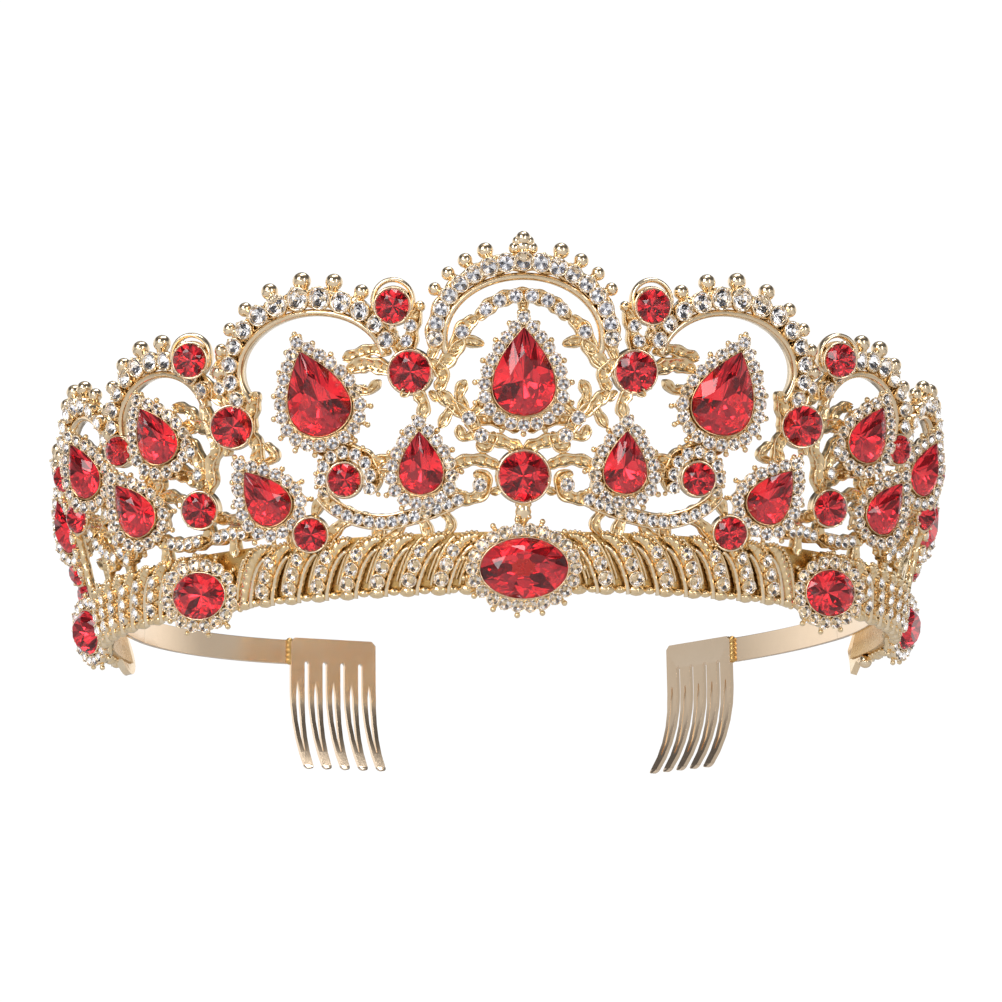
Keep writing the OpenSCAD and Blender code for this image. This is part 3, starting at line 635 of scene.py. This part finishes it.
# ---- rope band
def rope_rib(form, t, small):
    """One slanted rib with its side strands, all sweeping down from the top edge into a round lip."""
    M = wall(t, 0, 0)
    main = spline([[-6.2, 9.6], [-4.4, 9.1], [-2.8, 7.8], [-1.5, 6.0], [-0.6, 4.1], [0.1, 2.3], [0.5, 0.5]])
    p = walk(main, 0.3)
    nn = side_of(p)
    u = np.linspace(0, 1, len(p))
    w = 0.55 + 0.68 * np.sin(math.pi * np.clip(u, 0, 1)) ** 0.6
    a = rad(np.linspace(0, 180, 9))
    rise = np.sin(a) ** 0.8
    cut = 0.16 * np.cos(2 * math.pi * (u * 9)[:, None] + 2.2 * np.cos(a)[None]) * np.sin(a)
    s = np.stack([w[:, None] * np.cos(a), 0.9 + 1.45 * rise[None] + cut], -1)
    s = np.concatenate([s, np.stack([np.stack([-w, np.full(len(p), 0.4)], 1),
                                     np.stack([w, np.full(len(p), 0.4)], 1)], 1)], 1)
    sweep(form, p, s, M)
    dots(form, M, walk((p + nn * (w * 0.95)[:, None])[: int(len(p) * 0.55)], 0.8), 0.3, 2.0)
    k = rad(np.arange(6) * 60)
    for off, r, z, cut0, cut1 in ((-1.5, 0.4, 1.6, 0.1, 1), (1.5, 0.34, 1.35, 0.25, 0.95),
                                  (2.2, 0.3, 0.9, 0.4, 0.9)):
        q = (p + nn * off)[int(len(p) * cut0): int(len(p) * cut1)]
        q = walk(q, 0.35)
        n = len(q)
        swell = r * (0.8 + 0.4 * np.sin(math.pi * np.linspace(0.08, 0.92, n)))
        twist = 1 + 0.14 * np.cos(np.arange(n) * 1.9)
        sect = np.stack([(swell * twist)[:, None] * np.cos(k), z + (swell * 1.5)[:, None] * np.sin(k)], -1)
        sweep(small if off == -1.5 else form, q, sect, M)
    lip = ball(1.0, 12, 9)
    form.many(lip, [M @ shift(0.5, 0.9, 1.3) @ np.diag([1.5, 1.0, 1.1, 1]),
                    M @ shift(2.9, 0.9, 1.0) @ np.diag([1.0, 0.7, 0.8, 1])])


def ribs(places):
    form, small, setter = Form(), Form(), Setter()
    for t in places:
        rope_rib(form, t, small)
        setter.at(wall(t, 0, 2.7), [[-2.3, 7.3], [-1.1, 5.1], [-0.1, 2.8]], [1.8, 1.95, 2.1], 0.25)
    return form, small, setter


RIB_PITCH = 4        # degrees from one rib to the next
filler_ribs = (6.6, 37.6, 48.2, 79.0, 92.4)      # plain ribs close the gaps beside the ovals
fill, fill_wires = Form(), Form()
for t in filler_ribs:
    rope_rib(fill, t, fill_wires)
show("look_rib_fillers", fill.both(), [CAST], "cast_gold")
show("look_rib_filler_ridges", fill_wires.both(), [RIM], "cast_gold")
front = [10.2 + RIB_PITCH * i for i in range(7)]
side = [51.2 + RIB_PITCH * i for i in range(7)] + [96, 96 + RIB_PITCH]
f, s, c = ribs(front)
show("look_ribs_front", f.both(), [CAST], "cast_gold", "rope_ribs_front")
show("look_rib_ridges_front", s.both(), [RIM], "cast_gold")
show("look_band_crystals_front", c.stones.both(), CLEAR_SET, "crystal", "band_crystals_front")
show("look_band_collets_front", c.cups.both(), [RIM], "cast_gold")
f, s, c = ribs(side)
show("look_ribs_right", f, [CAST], "cast_gold", "rope_ribs_right")
show("look_ribs_left", f.mirrored(), [CAST], "cast_gold", "rope_ribs_left")
show("look_rib_ridges_sides", s.both(), [RIM], "cast_gold")
show("look_band_crystals_sides", c.stones.both(), CLEAR_SET, "crystal", "band_crystals_sides")
show("look_band_collets_sides", c.cups.both(), [RIM], "cast_gold")


# ---- settings
def setting(form, M, outline, w, l, bumps, grow=4.6):
    """A pierced bed with a ball claw at every scallop; outline(w, l, u)."""
    u = np.linspace(0, 360, 145)[:-1]
    scallop = grow + 0.5 * np.cos(rad(bumps * u))
    out = outline(w + scallop - 0.6, l + scallop - 0.4, u)
    inn = outline(w - 2.6, l - 3, u)
    ridge = (out + inn) / 2
    layers = [(inn, 0.6), (inn, 1.7), (ridge, 2.0), (out * 0.97, 2.1), (out, 1.5), (out, 0.6)]
    v = np.vstack([np.c_[p, np.full(len(p), h)] for p, h in layers])
    v[:, 2] += 0.07 * grain(v, 1.1)
    n = len(u)
    h = np.c_[v, np.ones(len(v))] @ M.T
    form.add(h[:, :3], rings(6, n, True, True)[:, ::-1])
    k = np.arange(bumps) * 360 / bumps
    dots(form, M, outline(w + grow + 0.2, l + grow + 0.4, k), 0.42, 1.6, BALL)
    dots(form, M, outline(w + grow + 1.3, l + grow + 1.5, k), 0.5, 1.7, BALL)
    dots(form, M, outline(w + 1.1, l + 1.3, np.arange(2 * bumps) * 180 / bumps), 0.26, 2.6)


def round_cup(form, M, d, claws=4):
    """The collet of a round stone: stepped wall, rolled lip and claws."""
    prof = [(d / 2 - 1.2, -1.8), (d / 2 + 0.3, -1.8), (d / 2 + 0.6, -1.5), (d / 2 + 0.34, -1.1),
            (d / 2 + 0.4, -0.5), (d / 2 + 0.42, 0.1), (d / 2 + 0.34, 0.28), (d / 2 + 0.16, 0.3),
            (d / 2 + 0.03, 0.15), (d / 2 + 0.02, -0.5), (d / 2 - 1.2, -1.1)]
    form.many(lathe(prof, 40), [M])
    for q in range(claws):
        g = rad(45 + 360 / claws * q)
        form.many(ball(1, 8, 6),
                  [M @ shift((d / 2 + 0.15) * math.cos(g), (d / 2 + 0.15) * math.sin(g), 0.45)
                   @ np.diag([0.34, 0.34, 0.34, 1])])


def pear_cup(form, M, w, l, outline=pear):
    """The thin rub-over edge between a pear stone and its halo."""
    u = np.linspace(0, 360, 97)[:-1]
    rows = [(0.4, -1.4), (0.5, -0.3), (0.4, -0.02), (0.16, 0.0), (0.02, -0.3), (0.0, -1.4)]
    v = np.vstack([np.c_[outline(w + a, l + a, u), np.full(len(u), z)] for a, z in rows])
    h = np.c_[v, np.ones(len(v))] @ M.T
    form.add(h[:, :3], [(rings(6, len(u), True, True), 0, True)])


def paired(form, on_both_sides):
    return form.both() if on_both_sides else form


for key, ((t, s), w, l) in ovals.items():
    many = key != "centre"
    form, cup, stone, small = Form(), Form(), Form(), Setter()
    M = seat(t, s)
    setting(form, M @ shift(0, 0, 0.4), oval, w, l, 12 if many else 15, grow=4.4)
    small.at(M, walk(oval(w + 2.7, l + 2.7, np.linspace(0, 360, 73)), 2.1, True), HALO_D, 3.1)
    pear_cup(cup, M @ shift(0, 0, 3.5), w, l, oval)
    stone.many(oval_gem(w, l), [M @ shift(0, 0, 3.6)])
    bed, halo, jewel = (f"oval_{what}{'s' if many else ''}_{key}" for what in ("setting", "halo", "stone"))
    show("look_" + bed, paired(form, many), [CAST], "cast_gold", bed)
    show("look_oval_edge_" + key, paired(cup, many), [RIM], "cast_gold")
    show("look_" + halo, paired(small.stones, many), CLEAR_SET, "crystal", halo)
    show("look_halo_collets_" + key, paired(small.cups, many), [RIM], "cast_gold")
    show("look_" + jewel, paired(stone, many), RUBY_SET, "ruby_glass", jewel)


def pears(label, setting_node, stone_node, at_places, w, l, bumps, many=True):
    form, cup, stone = Form(), Form(), Form()
    for (t, s, turn) in at_places:
        setting(form, seat(t, s, turn), pear, w, l, bumps)
        M = seat(t, s, turn) @ shift(0, 0, STONE_OUT + 0.7)
        pear_cup(cup, M, w, l)
        stone.many(pear_gem(w, l), [M])
    show("look_" + setting_node, paired(form, many), [CAST], "cast_gold", setting_node)
    show("look_edge_" + label, paired(cup, many), [RIM], "cast_gold")
    show("look_" + stone_node, paired(stone, many), RUBY_SET, "ruby_glass", stone_node)


pears("centre", "pear_setting_centre", "pear_stone_centre", [centre_pear], 10, 14, 18, False)
pears("large", "pear_settings_large", "pear_stones_large", [large_pear], 10, 14, 18)
pears("front", "drop_settings_front", "drop_stones_front", front_drops, 7, 10, 14)
pears("side", "drop_settings_side", "drop_stones_side", side_drops, 7, 10, 14)

cups, centre_stone = Form(), Form()
for (t, s, d) in upper_rounds + lower_rounds:
    round_cup(cups, seat(t, s) @ shift(0, 0, STONE_OUT), d)
cups = cups.both()
round_cup(cups, wall(0, 19, STONE_OUT), 8, 6)
show("look_bezels_round", cups, [RIM], "cast_gold", "bezels_round")
centre_stone.many(round_gem(8), [wall(0, 19, STONE_OUT + 0.5)])
show("look_round_stone_centre", centre_stone, RUBY_SET, "ruby_glass", "round_stone_centre")
for stones_node, at_places in (("round_stones_upper", upper_rounds), ("round_stones_lower", lower_rounds)):
    stones = Form()
    for i, (t, s, d) in enumerate(at_places):
        stones.many(round_gem(d), [seat(t, s, 11 * i) @ shift(0, 0, STONE_OUT + 0.5)])
    show("look_" + stones_node, stones.both(), RUBY_SET, "ruby_glass", stones_node)


# ---------------------------------------------------------------- filigree panels
def panel(name, build):
    """build(cast, rims) fills the right-hand panel; two nodes, right and mirrored left."""
    cast, rims = Form(), Form()
    build(cast, rims)
    for hand, forms in (("right", (cast, rims)), ("left", (cast.mirrored(), rims.mirrored()))):
        show(f"look_{name}_{hand}", forms[0], [CAST], "cast_gold", f"{name}_{hand}")
        if rims.n:
            show(f"look_{name}_wires_{hand}", forms[1], [RIM], "cast_gold")


def half_centre(cast):
    leaves(cast, 0, [
        ([[5.2, 44.6], [7, 42.3], [7.6, 39.6], [8.8, 37.6], [9.9, 36.4]], 1.15),
        ([[4.4, 40.2], [6.6, 40.7], [8.2, 38.8]], 0.85),
        ([[0, 23.2], [2.6, 24.6], [5, 25.6], [6.4, 28.5], [8.2, 30.6], [10, 33]], 1.0),
        ([[0.4, 26.4], [3.4, 27.8], [6.2, 28.3]], 0.8),
        ([[8.2, 30.6], [9, 28.8], [9.9, 27]], 0.8),
        ([[3.9, 31.8], [6.4, 28.5]], 0.8),
        ([[3.4, 26.2], [4.2, 23.6], [5.6, 24.4]], 0.8),
        ([[10, 33], [9.2, 35.4], [10.6, 38]], 1.0),
        ([[6.4, 28.5], [7.4, 32], [6.6, 34.6]], 0.85), ([[4.6, 26.6], [7, 25.4], [7.6, 27.4]], 0.8),
        ([[12.5, 33.2], [11.6, 31], [11.9, 28.6]], 0.95), ([[13.3, 33.4], [14.3, 32.4]], 0.8),
        ([[10.9, 33], [9.7, 31.4]], 0.8),
    ])
    leaves(cast, 0, [([[2.9, 20.6], [5.4, 21.7], [8.2, 21], [9.3, 18.6], [8.6, 16.5]], 0.95),
                     ([[8.6, 16.5], [6.8, 15.4], [4.9, 16.4], [4.6, 18.6], [6, 19.6]], 1.0),
                     ([[2.6, 17], [4, 16.2]], 0.6)])
    leaf(cast, wall(0, 0), laid(0, spline([[10.6, 38.2], [9.4, 41.6]])), 0.9)
    ball_edge(cast, 0, centre_arch, 10.6, 13.4, 4, 88, 2.2, 0.42)


cast, rims = Form(), Form()
half_centre(cast)
cast = cast.both()
arch_bed(cast, rims, 0, centre_arch, 10, 12.4, -8, 188)
leaves(cast, 0, [([[-5.2, 44.3], [-3, 47], [0, 48], [3, 47], [5.2, 44.3]], 1.1), ([[0, 45], [0, 48]], 0.8)])
show("look_panel_centre", cast, [CAST], "cast_gold", "panel_centre")
show("look_panel_centre_wires", rims, [RIM], "cast_gold")

post = Form()
post.many(lathe([(0.9, -5.4), (0.9, -4.2), (0.6, -3.6), (0.6, -1.8), (1.0, -1.2), (1.35, 0), (1.0, 1.2),
                 (0.75, 1.6), (0.75, 2.6)], 14),
          [wall(0, 13.2, 1.0) @ rot("X", -90) @ np.diag([1, 0.6, 1, 1])])
dots(post, wall(0, 0), [[-0.95, 12.4], [0.95, 12.4], [-0.95, 14.4], [0.95, 14.4]], 0.42, 1.3, BALL)
show("look_centre_post", post, [RIM], "cast_gold", "centre_post")


def large(cast, rims):
    arch_bed(cast, rims, 24, large_arch, 10.2, 11.4, -24, 168)
    leaves(cast, 24, [
        ([[14.4, 36.4], [17.4, 37.9], [20, 37.2]], 1.15), ([[14.6, 39.4], [16.8, 40.2], [20.4, 39]], 0.9),
        ([[16.2, 35.2], [17.6, 33.6], [19.4, 34.2]], 0.7),
        ([[22.9, 27], [22.4, 25.2], [21.6, 23.4]], 1.0), ([[24.6, 26.6], [24.4, 24.8], [22.6, 23.6]], 0.7),
        ([[14, 21.4], [16.4, 22.4], [18.4, 21]], 0.9), ([[14.2, 19.2], [16.2, 20.2], [18, 19.4]], 0.7),
        ([[31.8, 35.4], [33.2, 29.6], [32.6, 26.2], [33.2, 23.4]], 1.0), ([[33, 33.4], [34.6, 34.4]], 0.8),
        ([[25, 17], [26.2, 14]], 0.8), ([[28.2, 14.4], [29.5, 12.4], [29.6, 8.8]], 0.9),
        ([[31.6, 26.8], [30.4, 24.6], [31.8, 23.6]], 0.7),
    ], 0.6)
    c = laid(24, [[21.1, 19.6]])[0]
    leaf(cast, wall(24, 0), oval(8.8, 8.8, np.linspace(-34, 214, 40)) + c, 1.25, top=1.4, pitch=2.2)
    dots(cast, wall(24, 0), oval(11.6, 11.6, np.linspace(-30, 210, 12)) + c, 0.42, 1.2, BALL)
    ball_edge(cast, 24, large_arch, 10.9, 12.5, -14, 132, 2.6, 0.4)


def medium(cast, rims):
    arch_bed(cast, rims, 45, medium_arch, 8.7, 10.7, -16, 168)
    leaves(cast, 45, [
        ([[39.6, 35], [38.8, 30], [38.4, 27], [39.8, 25], [40.2, 22], [42, 20]], 1.0),
        ([[40.6, 20.6], [44.6, 23.8], [48.4, 25.2], [52, 23.6]], 1.25),
        ([[41.4, 22], [42.2, 27.4], [44.4, 29.8]], 1.1), ([[38.4, 29.8], [41.2, 31.6], [44.2, 31.4]], 1.1),
        ([[50, 27], [53.6, 29.2]], 1.1), ([[45.4, 18.6], [48, 20.8], [51.8, 20.4]], 1.0),
        ([[32.6, 13], [36.6, 14.7], [41, 16]], 0.9), ([[33.6, 12], [37.6, 12.9], [41.8, 12]], 1.1),
        ([[41.8, 15], [42.6, 12.6], [46.4, 12.2], [50.6, 13.4], [53, 15.2]], 1.1),
        ([[38, 8.8], [37.6, 13.4]], 0.9), ([[50.4, 13.6], [51, 8.8]], 1.0),
        ([[36.4, 27.8], [36.8, 25.6]], 0.7),
        ([[44.6, 35.6], [42, 34], [41.4, 31.8]], 0.8), ([[48.8, 23.8], [50.4, 21.4], [49.6, 19.8]], 0.8),
    ], 1.1)
    ball_edge(cast, 45, medium_arch, 9.4, 11.8, -8, 130, 2.4, 0.4)


def small(cast, rims):
    arch_bed(cast, rims, 65, small_arch, 7.8, 10.2, -14, 172)
    leaves(cast, 65, [
        ([[58, 11.6], [60.6, 14.4], [61.4, 18.2], [62.6, 23.4]], 1.15),
        ([[60.8, 12.4], [64.8, 14.2], [67.8, 16.8], [69.8, 20.8]], 1.15),
        ([[55, 14.4], [58.6, 12.6], [61.6, 12.8]], 1.1), ([[57, 26.8], [60.2, 24.9], [63.4, 25]], 1.1),
        ([[66, 25.6], [69.8, 23.4]], 1.1), ([[62.2, 22.4], [66.2, 20.4], [69.8, 21.4]], 1.0),
        ([[60.4, 14.6], [60.2, 8.8]], 1.0), ([[67.6, 17.2], [68.4, 8.8]], 1.0),
        ([[71.8, 34.4], [73.4, 32]], 1.0),
        ([[63.4, 16.8], [66, 18.6], [68, 18]], 0.8), ([[57.4, 23], [59, 20.8], [61, 20]], 0.8),
        ([[64, 12.6], [67.4, 12.2], [70.6, 14.4]], 0.8),
    ], 2.3)
    ball_edge(cast, 65, small_arch, 8.5, 11.2, -6, 150, 2.4, 0.38)


def end(cast, rims):
    arch_bed(cast, rims, 86, end_arch, 7.4, 9.4, -10, 190)
    leaves(cast, 86, [
        ([[88.6, 24], [92.2, 20.4], [95.8, 17.6], [99, 14], [101.4, 8.8]], 1.25),
        ([[74.6, 28.6], [75.8, 24.4], [76.6, 20.4], [77.8, 15.4], [78, 8.8]], 1.15),
        ([[77.6, 15.6], [81.6, 14.7], [86.6, 16]], 1.0), ([[82.8, 18.4], [81.6, 14.8], [80.6, 8.8]], 1.0),
        ([[73.4, 21.6], [77, 20.2]], 1.0), ([[90.2, 22.6], [89, 18.4]], 1.0),
        ([[91.6, 15.4], [90.4, 15.8]], 0.9),
        ([[95, 15], [97, 16.8]], 0.9), ([[84, 17.6], [86, 19], [88, 18.4]], 0.8),
        ([[96.6, 9], [97.6, 12.4], [99.4, 13]], 0.8),
    ], 3.1)
    ball_edge(cast, 86, end_arch, 8.1, 10.4, 0, 170, 2.4, 0.36)


def vine(cast, rims):
    M = wall(16, 0)
    p = laid(16, spline([[6.8, 15.9], [9.6, 14.4], [13, 13], [17, 12.2], [20.6, 13.2], [23.4, 15.4],
                         [25, 18]]))
    leaf(cast, M, p, 1.1, top=1.35, pitch=1.95)
    nn = side_of(p)
    for edge_side in (-1, 1):
        wire(rims, M, p[2:-2] + nn[2:-2] * 1.12 * edge_side, 0.24, 1.25, k=6)
    leaves(cast, 16, [([[12.4, 13], [11.7, 10.6], [11.4, 8.6]], 0.85), ([[17.6, 12.2], [18.2, 8.8]], 1.0),
                      ([[21.2, 13.6], [23.6, 11.4], [25, 8.8]], 0.9),
                      ([[9.8, 13.8], [8.6, 11.6], [9.4, 9.6]], 0.7),
                      ([[14.6, 12.2], [15.6, 10.4], [17.2, 9.6]], 0.7)], 0.9)


panel("panel_large", large)
panel("panel_medium", medium)
panel("panel_small", small)
panel("panel_end", end)
panel("vine", vine)

# ---------------------------------------------------------------- plain wire loops over the round stones
loops, stems = Form(), Form()
for c in (upper_rounds[0], upper_rounds[2]):
    q = oval(6.5, 6.9, np.linspace(0, 360, 49)) + (0, 0.8)
    wire(loops, seat(c[0], c[1]), q, 0.44, 0.8, closed=True, flat=2.6)
for mid, items in ((13, [([[12.8, 38.8], [12.2, 43.6], [11.4, 46.2]], 1.0),
                         ([[13, 38.8], [14.8, 42.4], [14.4, 44.2]], 1.0)]),
                   (37, [([[35.8, 33.8], [36.6, 39.4], [36.2, 41.6]], 1.0),
                         ([[36, 33.8], [38.6, 37], [39.4, 39.4]], 1.0)])):
    leaves(stems, mid, items, mid)
dots(stems, wall(13, 0), laid(13, [[11.3, 46.6]]), 0.95, 1.0, BALL)
dots(stems, wall(37, 0), laid(37, [[36.2, 42]]), 0.95, 1.0, BALL)
show("look_loops_upper", loops.both(), [RIM], "cast_gold", "loops_upper")
show("look_loop_stems", stems.both(), [CAST], "cast_gold")

# ---------------------------------------------------------------- clear crystals
groups = {}


def group(name, builder):
    setter = Setter()
    builder(setter)
    groups[name] = (setter.stones.both(), setter.cups.both())


mid_only, halves = Setter(), Setter()
mid_only.row(0, centre_arch, 10, 12.4, 2, 178, 16, 0.4)
mid_only.path(0, [[-4.2, 45.8], [-3, 47], [0, 48], [3, 47], [4.2, 45.8]], 2.6, 2.0)
mid_only.halo(centre_pear, 10, 14)
halves.on_plate(0, laid(0, [[6.9, 42.3], [5, 25.6], [6.4, 28.5], [5.3, 17.7]]), 2.0)
halves.halo(front_drops[0], 7, 10)
groups["centre"] = (mid_only.stones.join(halves.stones.both()), mid_only.cups.join(halves.cups.both()))


def fill_large(s):
    s.row(24, large_arch, 10.2, 11.4, -18, 162, 12, 1.0)
    s.halo(large_pear, 10, 14)
    s.halo(front_drops[1], 7, 10)
    c = laid(24, [[21.1, 19.6]])[0]
    s.on_plate(24, walk(oval(8.8, 8.8, np.linspace(-24, 204, 40)) + c, 2.2), HALO_D)
    s.on_plate(13, laid(13, [[12.9, 41.2], [14.7, 41.8], [12.3, 43.6], [14.6, 44.2]]), 1.8)
    s.path(16, [[7.4, 15.4], [9.6, 14.4], [13, 13], [17, 12.2], [20.6, 13.2], [22.8, 14.8]], 1.95, 1.7)


def fill_medium(s):
    s.row(45, medium_arch, 8.7, 10.7, -8, 158, 10, 0.6)
    s.halo(side_drops[0], 7, 10)
    s.halo(side_drops[1], 7, 10)
    s.on_plate(37, laid(37, [[36.6, 39.6], [38.6, 37.4], [36.4, 36.8]]), 1.9)
    s.on_plate(45, laid(45, [[41.6, 23.4], [42.2, 27.4], [48.6, 25.2]]), 2.0)
    s.path(45, [[35.4, 12.6], [37.6, 12.9], [39.9, 12.5]], 2.0, 1.7)
    s.path(45, [[43.8, 12.5], [46.4, 12.3], [48.6, 12.9]], 2.0, 1.7)


def fill_small(s):
    s.row(65, small_arch, 7.8, 10.2, -6, 166, 9, 0.5)
    s.halo(side_drops[2], 7, 10)
    s.path(65, [[58.6, 12.2], [60.6, 14.4], [61.4, 18.2], [62, 21]], 2.4, 1.9)
    s.path(65, [[63, 13.4], [64.8, 14.2], [67.8, 16.8], [69, 19]], 2.4, 1.9)


def fill_end(s):
    s.row(86, end_arch, 7.4, 9.4, 0, 180, 10, 0.3)
    s.halo(side_drops[3], 7, 10)
    s.path(86, [[91.6, 21], [95.8, 17.6], [99, 14], [101, 10.4]], 2.6, 1.9)
    s.on_plate(86, laid(86, [[76.6, 20.4], [77.2, 17.6], [77.9, 14.4]]), 1.9)


group("large", fill_large)
group("medium", fill_medium)
group("small", fill_small)
group("end", fill_end)
for key, (stones, collets) in groups.items():
    show("look_crystals_" + key, stones, CLEAR_SET, "crystal", "crystals_" + key)
    show("look_collets_" + key, collets, [RIM], "cast_gold")

# ---------------------------------------------------------------- finials
top_row = Form()
finial_row(top_row, 0, centre_arch, 10.8, 13.5, [34, 46, 58, 70], 1.0)
top_row = top_row.both()
top = wall(0, 54.2, PLATE_T / 2)
top_row.many(lathe([(0.9, -0.8), (1.15, -0.4), (0.8, 0.3), (0.95, 0.8), (1.3, 1.3), (1.35, 1.9),
                    (0.8, 2.5), (0.0, 2.6)], 16),
             [top @ rot("X", -90)])
for x, y, r in ((-1.4, 1.3, 1.0), (1.4, 1.3, 1.0), (0, 2.85, 1.25), (-0.95, 2.4, 0.85), (0.95, 2.4, 0.85)):
    top_row.many(ball(r, 14, 10), [top @ shift(x, y, 0.1)])
show("look_finials_centre", top_row, [RIM], "cast_gold", "finials_centre")
for key, mid, c, a, b, angles, r in (
        ("large", 24, large_arch, 11, 12.5, [6, 21, 36, 52, 70, 89, 107, 124], 1.05),
        ("medium", 45, medium_arch, 9.5, 11.8, [4, 22, 40, 60, 80, 100, 118], 1.05),
        ("small", 65, small_arch, 8.6, 11.3, [4, 24, 44, 64, 84, 104, 124], 1.0),
        ("end", 86, end_arch, 8.2, 10.5, [8, 32, 56, 78, 100, 124, 148], 0.95)):
    row = Form()
    finial_row(row, mid, c, a, b, angles, r)
    show("look_finials_" + key, row.both(), [RIM], "cast_gold", "finials_" + key)

# ---------------------------------------------------------------- stage, light and camera
def stage_sheet(name, corners, colour):
    me = bpy.data.meshes.new(name)
    me.from_pydata(corners, [], [(0, 1, 2, 3)])
    o = bpy.data.objects.new(name, me)
    bpy.context.scene.collection.objects.link(o)
    m, _, b = material(name)
    b.inputs["Base Color"].default_value = (*colour, 1)
    b.inputs["Roughness"].default_value = 0.8
    me.materials.append(m)


FLOOR = -0.125
stage_sheet("floor", [(-6, -6, FLOOR), (6, -6, FLOOR), (6, 6, FLOOR), (-6, 6, FLOOR)], (0.7, 0.7, 0.71))

# The world's tone goes by height, and it is white behind the crown
world = bpy.data.worlds.new("studio")
bpy.context.scene.world = world
world.use_nodes = True
nt = world.node_tree
bg = nt.nodes["Background"]
sky = nt.nodes.new("ShaderNodeTexCoord")
sep = nt.nodes.new("ShaderNodeSeparateXYZ")
nt.links.new(sky.outputs["Generated"], sep.inputs[0])
up = ramp(nt, sep.outputs["Z"], [(0.0, (0.52, 0.52, 0.52)), (0.3, (0.5, 0.5, 0.5)),
                                 (0.42, (0.13, 0.13, 0.14)), (0.75, (0.1, 0.1, 0.105)),
                                 (0.95, (0.5, 0.5, 0.5))])
back = node(nt, "ShaderNodeMapRange")
back.inputs["From Min"].default_value, back.inputs["From Max"].default_value = 0.1, 0.6
nt.links.new(sep.outputs["Y"], back.inputs["Value"])
low = node(nt, "ShaderNodeMapRange")
low.inputs["From Min"].default_value, low.inputs["From Max"].default_value = 0.62, 0.44
nt.links.new(sep.outputs["Z"], low.inputs["Value"])
low_behind = node(nt, "ShaderNodeMath", operation="MULTIPLY")
nt.links.new(back.outputs[0], low_behind.inputs[0])
nt.links.new(low.outputs[0], low_behind.inputs[1])
white = node(nt, "ShaderNodeMix", data_type="RGBA")
nt.links.new(low_behind.outputs[0], white.inputs[0])
nt.links.new(up, white.inputs[6])
white.inputs[7].default_value = (1.05, 1.05, 1.05, 1)
nt.links.new(white.outputs[2], bg.inputs["Color"])
bg.inputs["Strength"].default_value = 1.0


LIT_POINT = Vector((0, 0, 0.02))      # where every lamp is aimed


def softbox(name, where, size, power):
    L = bpy.data.lights.new(name, "AREA")
    L.shape, L.size, L.size_y, L.energy = "RECTANGLE", size[0], size[1], power
    o = bpy.data.objects.new(name, L)
    o.location = where
    o.rotation_euler = (LIT_POINT - Vector(where)).to_track_quat("-Z", "Y").to_euler()
    bpy.context.scene.collection.objects.link(o)


softbox("key", (-0.75, -1.0, 0.55), (0.55, 0.8), 7.5)
softbox("strip", (0.62, -1.1, 0.18), (0.22, 0.9), 2.6)
softbox("top", (0.1, -0.1, 1.2), (0.9, 0.35), 6)
softbox("low", (-0.25, -1.2, -0.06), (0.5, 0.10), 0.7)

# The camera: its distance, its height and bearing as seen from the crown, then how it is aimed
D = 0.515
el, az, pan, tilt, roll = (math.radians(x) for x in (-7.82, -3.16, -0.085, 11.01, -0.79))
eye = Vector((math.sin(az) * math.cos(el) * D, -math.cos(az) * math.cos(el) * D, math.sin(el) * D))
a = az + pan
ahead = Vector((-math.sin(a) * math.cos(tilt), math.cos(a) * math.cos(tilt), math.sin(tilt)))
right = Vector((math.cos(a), math.sin(a), 0))
above = right.cross(ahead)
R = right * math.cos(roll) + above * math.sin(roll)
U = -right * math.sin(roll) + above * math.cos(roll)
cam = bpy.data.objects.new("camera", bpy.data.cameras.new("camera"))
cam.matrix_world = Matrix(((R[0], U[0], -ahead[0], eye[0]), (R[1], U[1], -ahead[1], eye[1]),
                           (R[2], U[2], -ahead[2], eye[2]), (0, 0, 0, 1)))
cam.data.sensor_width, cam.data.lens = 36, 98.62
cam.data.clip_start, cam.data.clip_end = 0.01, 50
bpy.context.scene.collection.objects.link(cam)
bpy.context.scene.camera = cam
bpy.context.scene.view_settings.view_transform = "Standard"
bpy.context.scene.view_settings.look = "None"
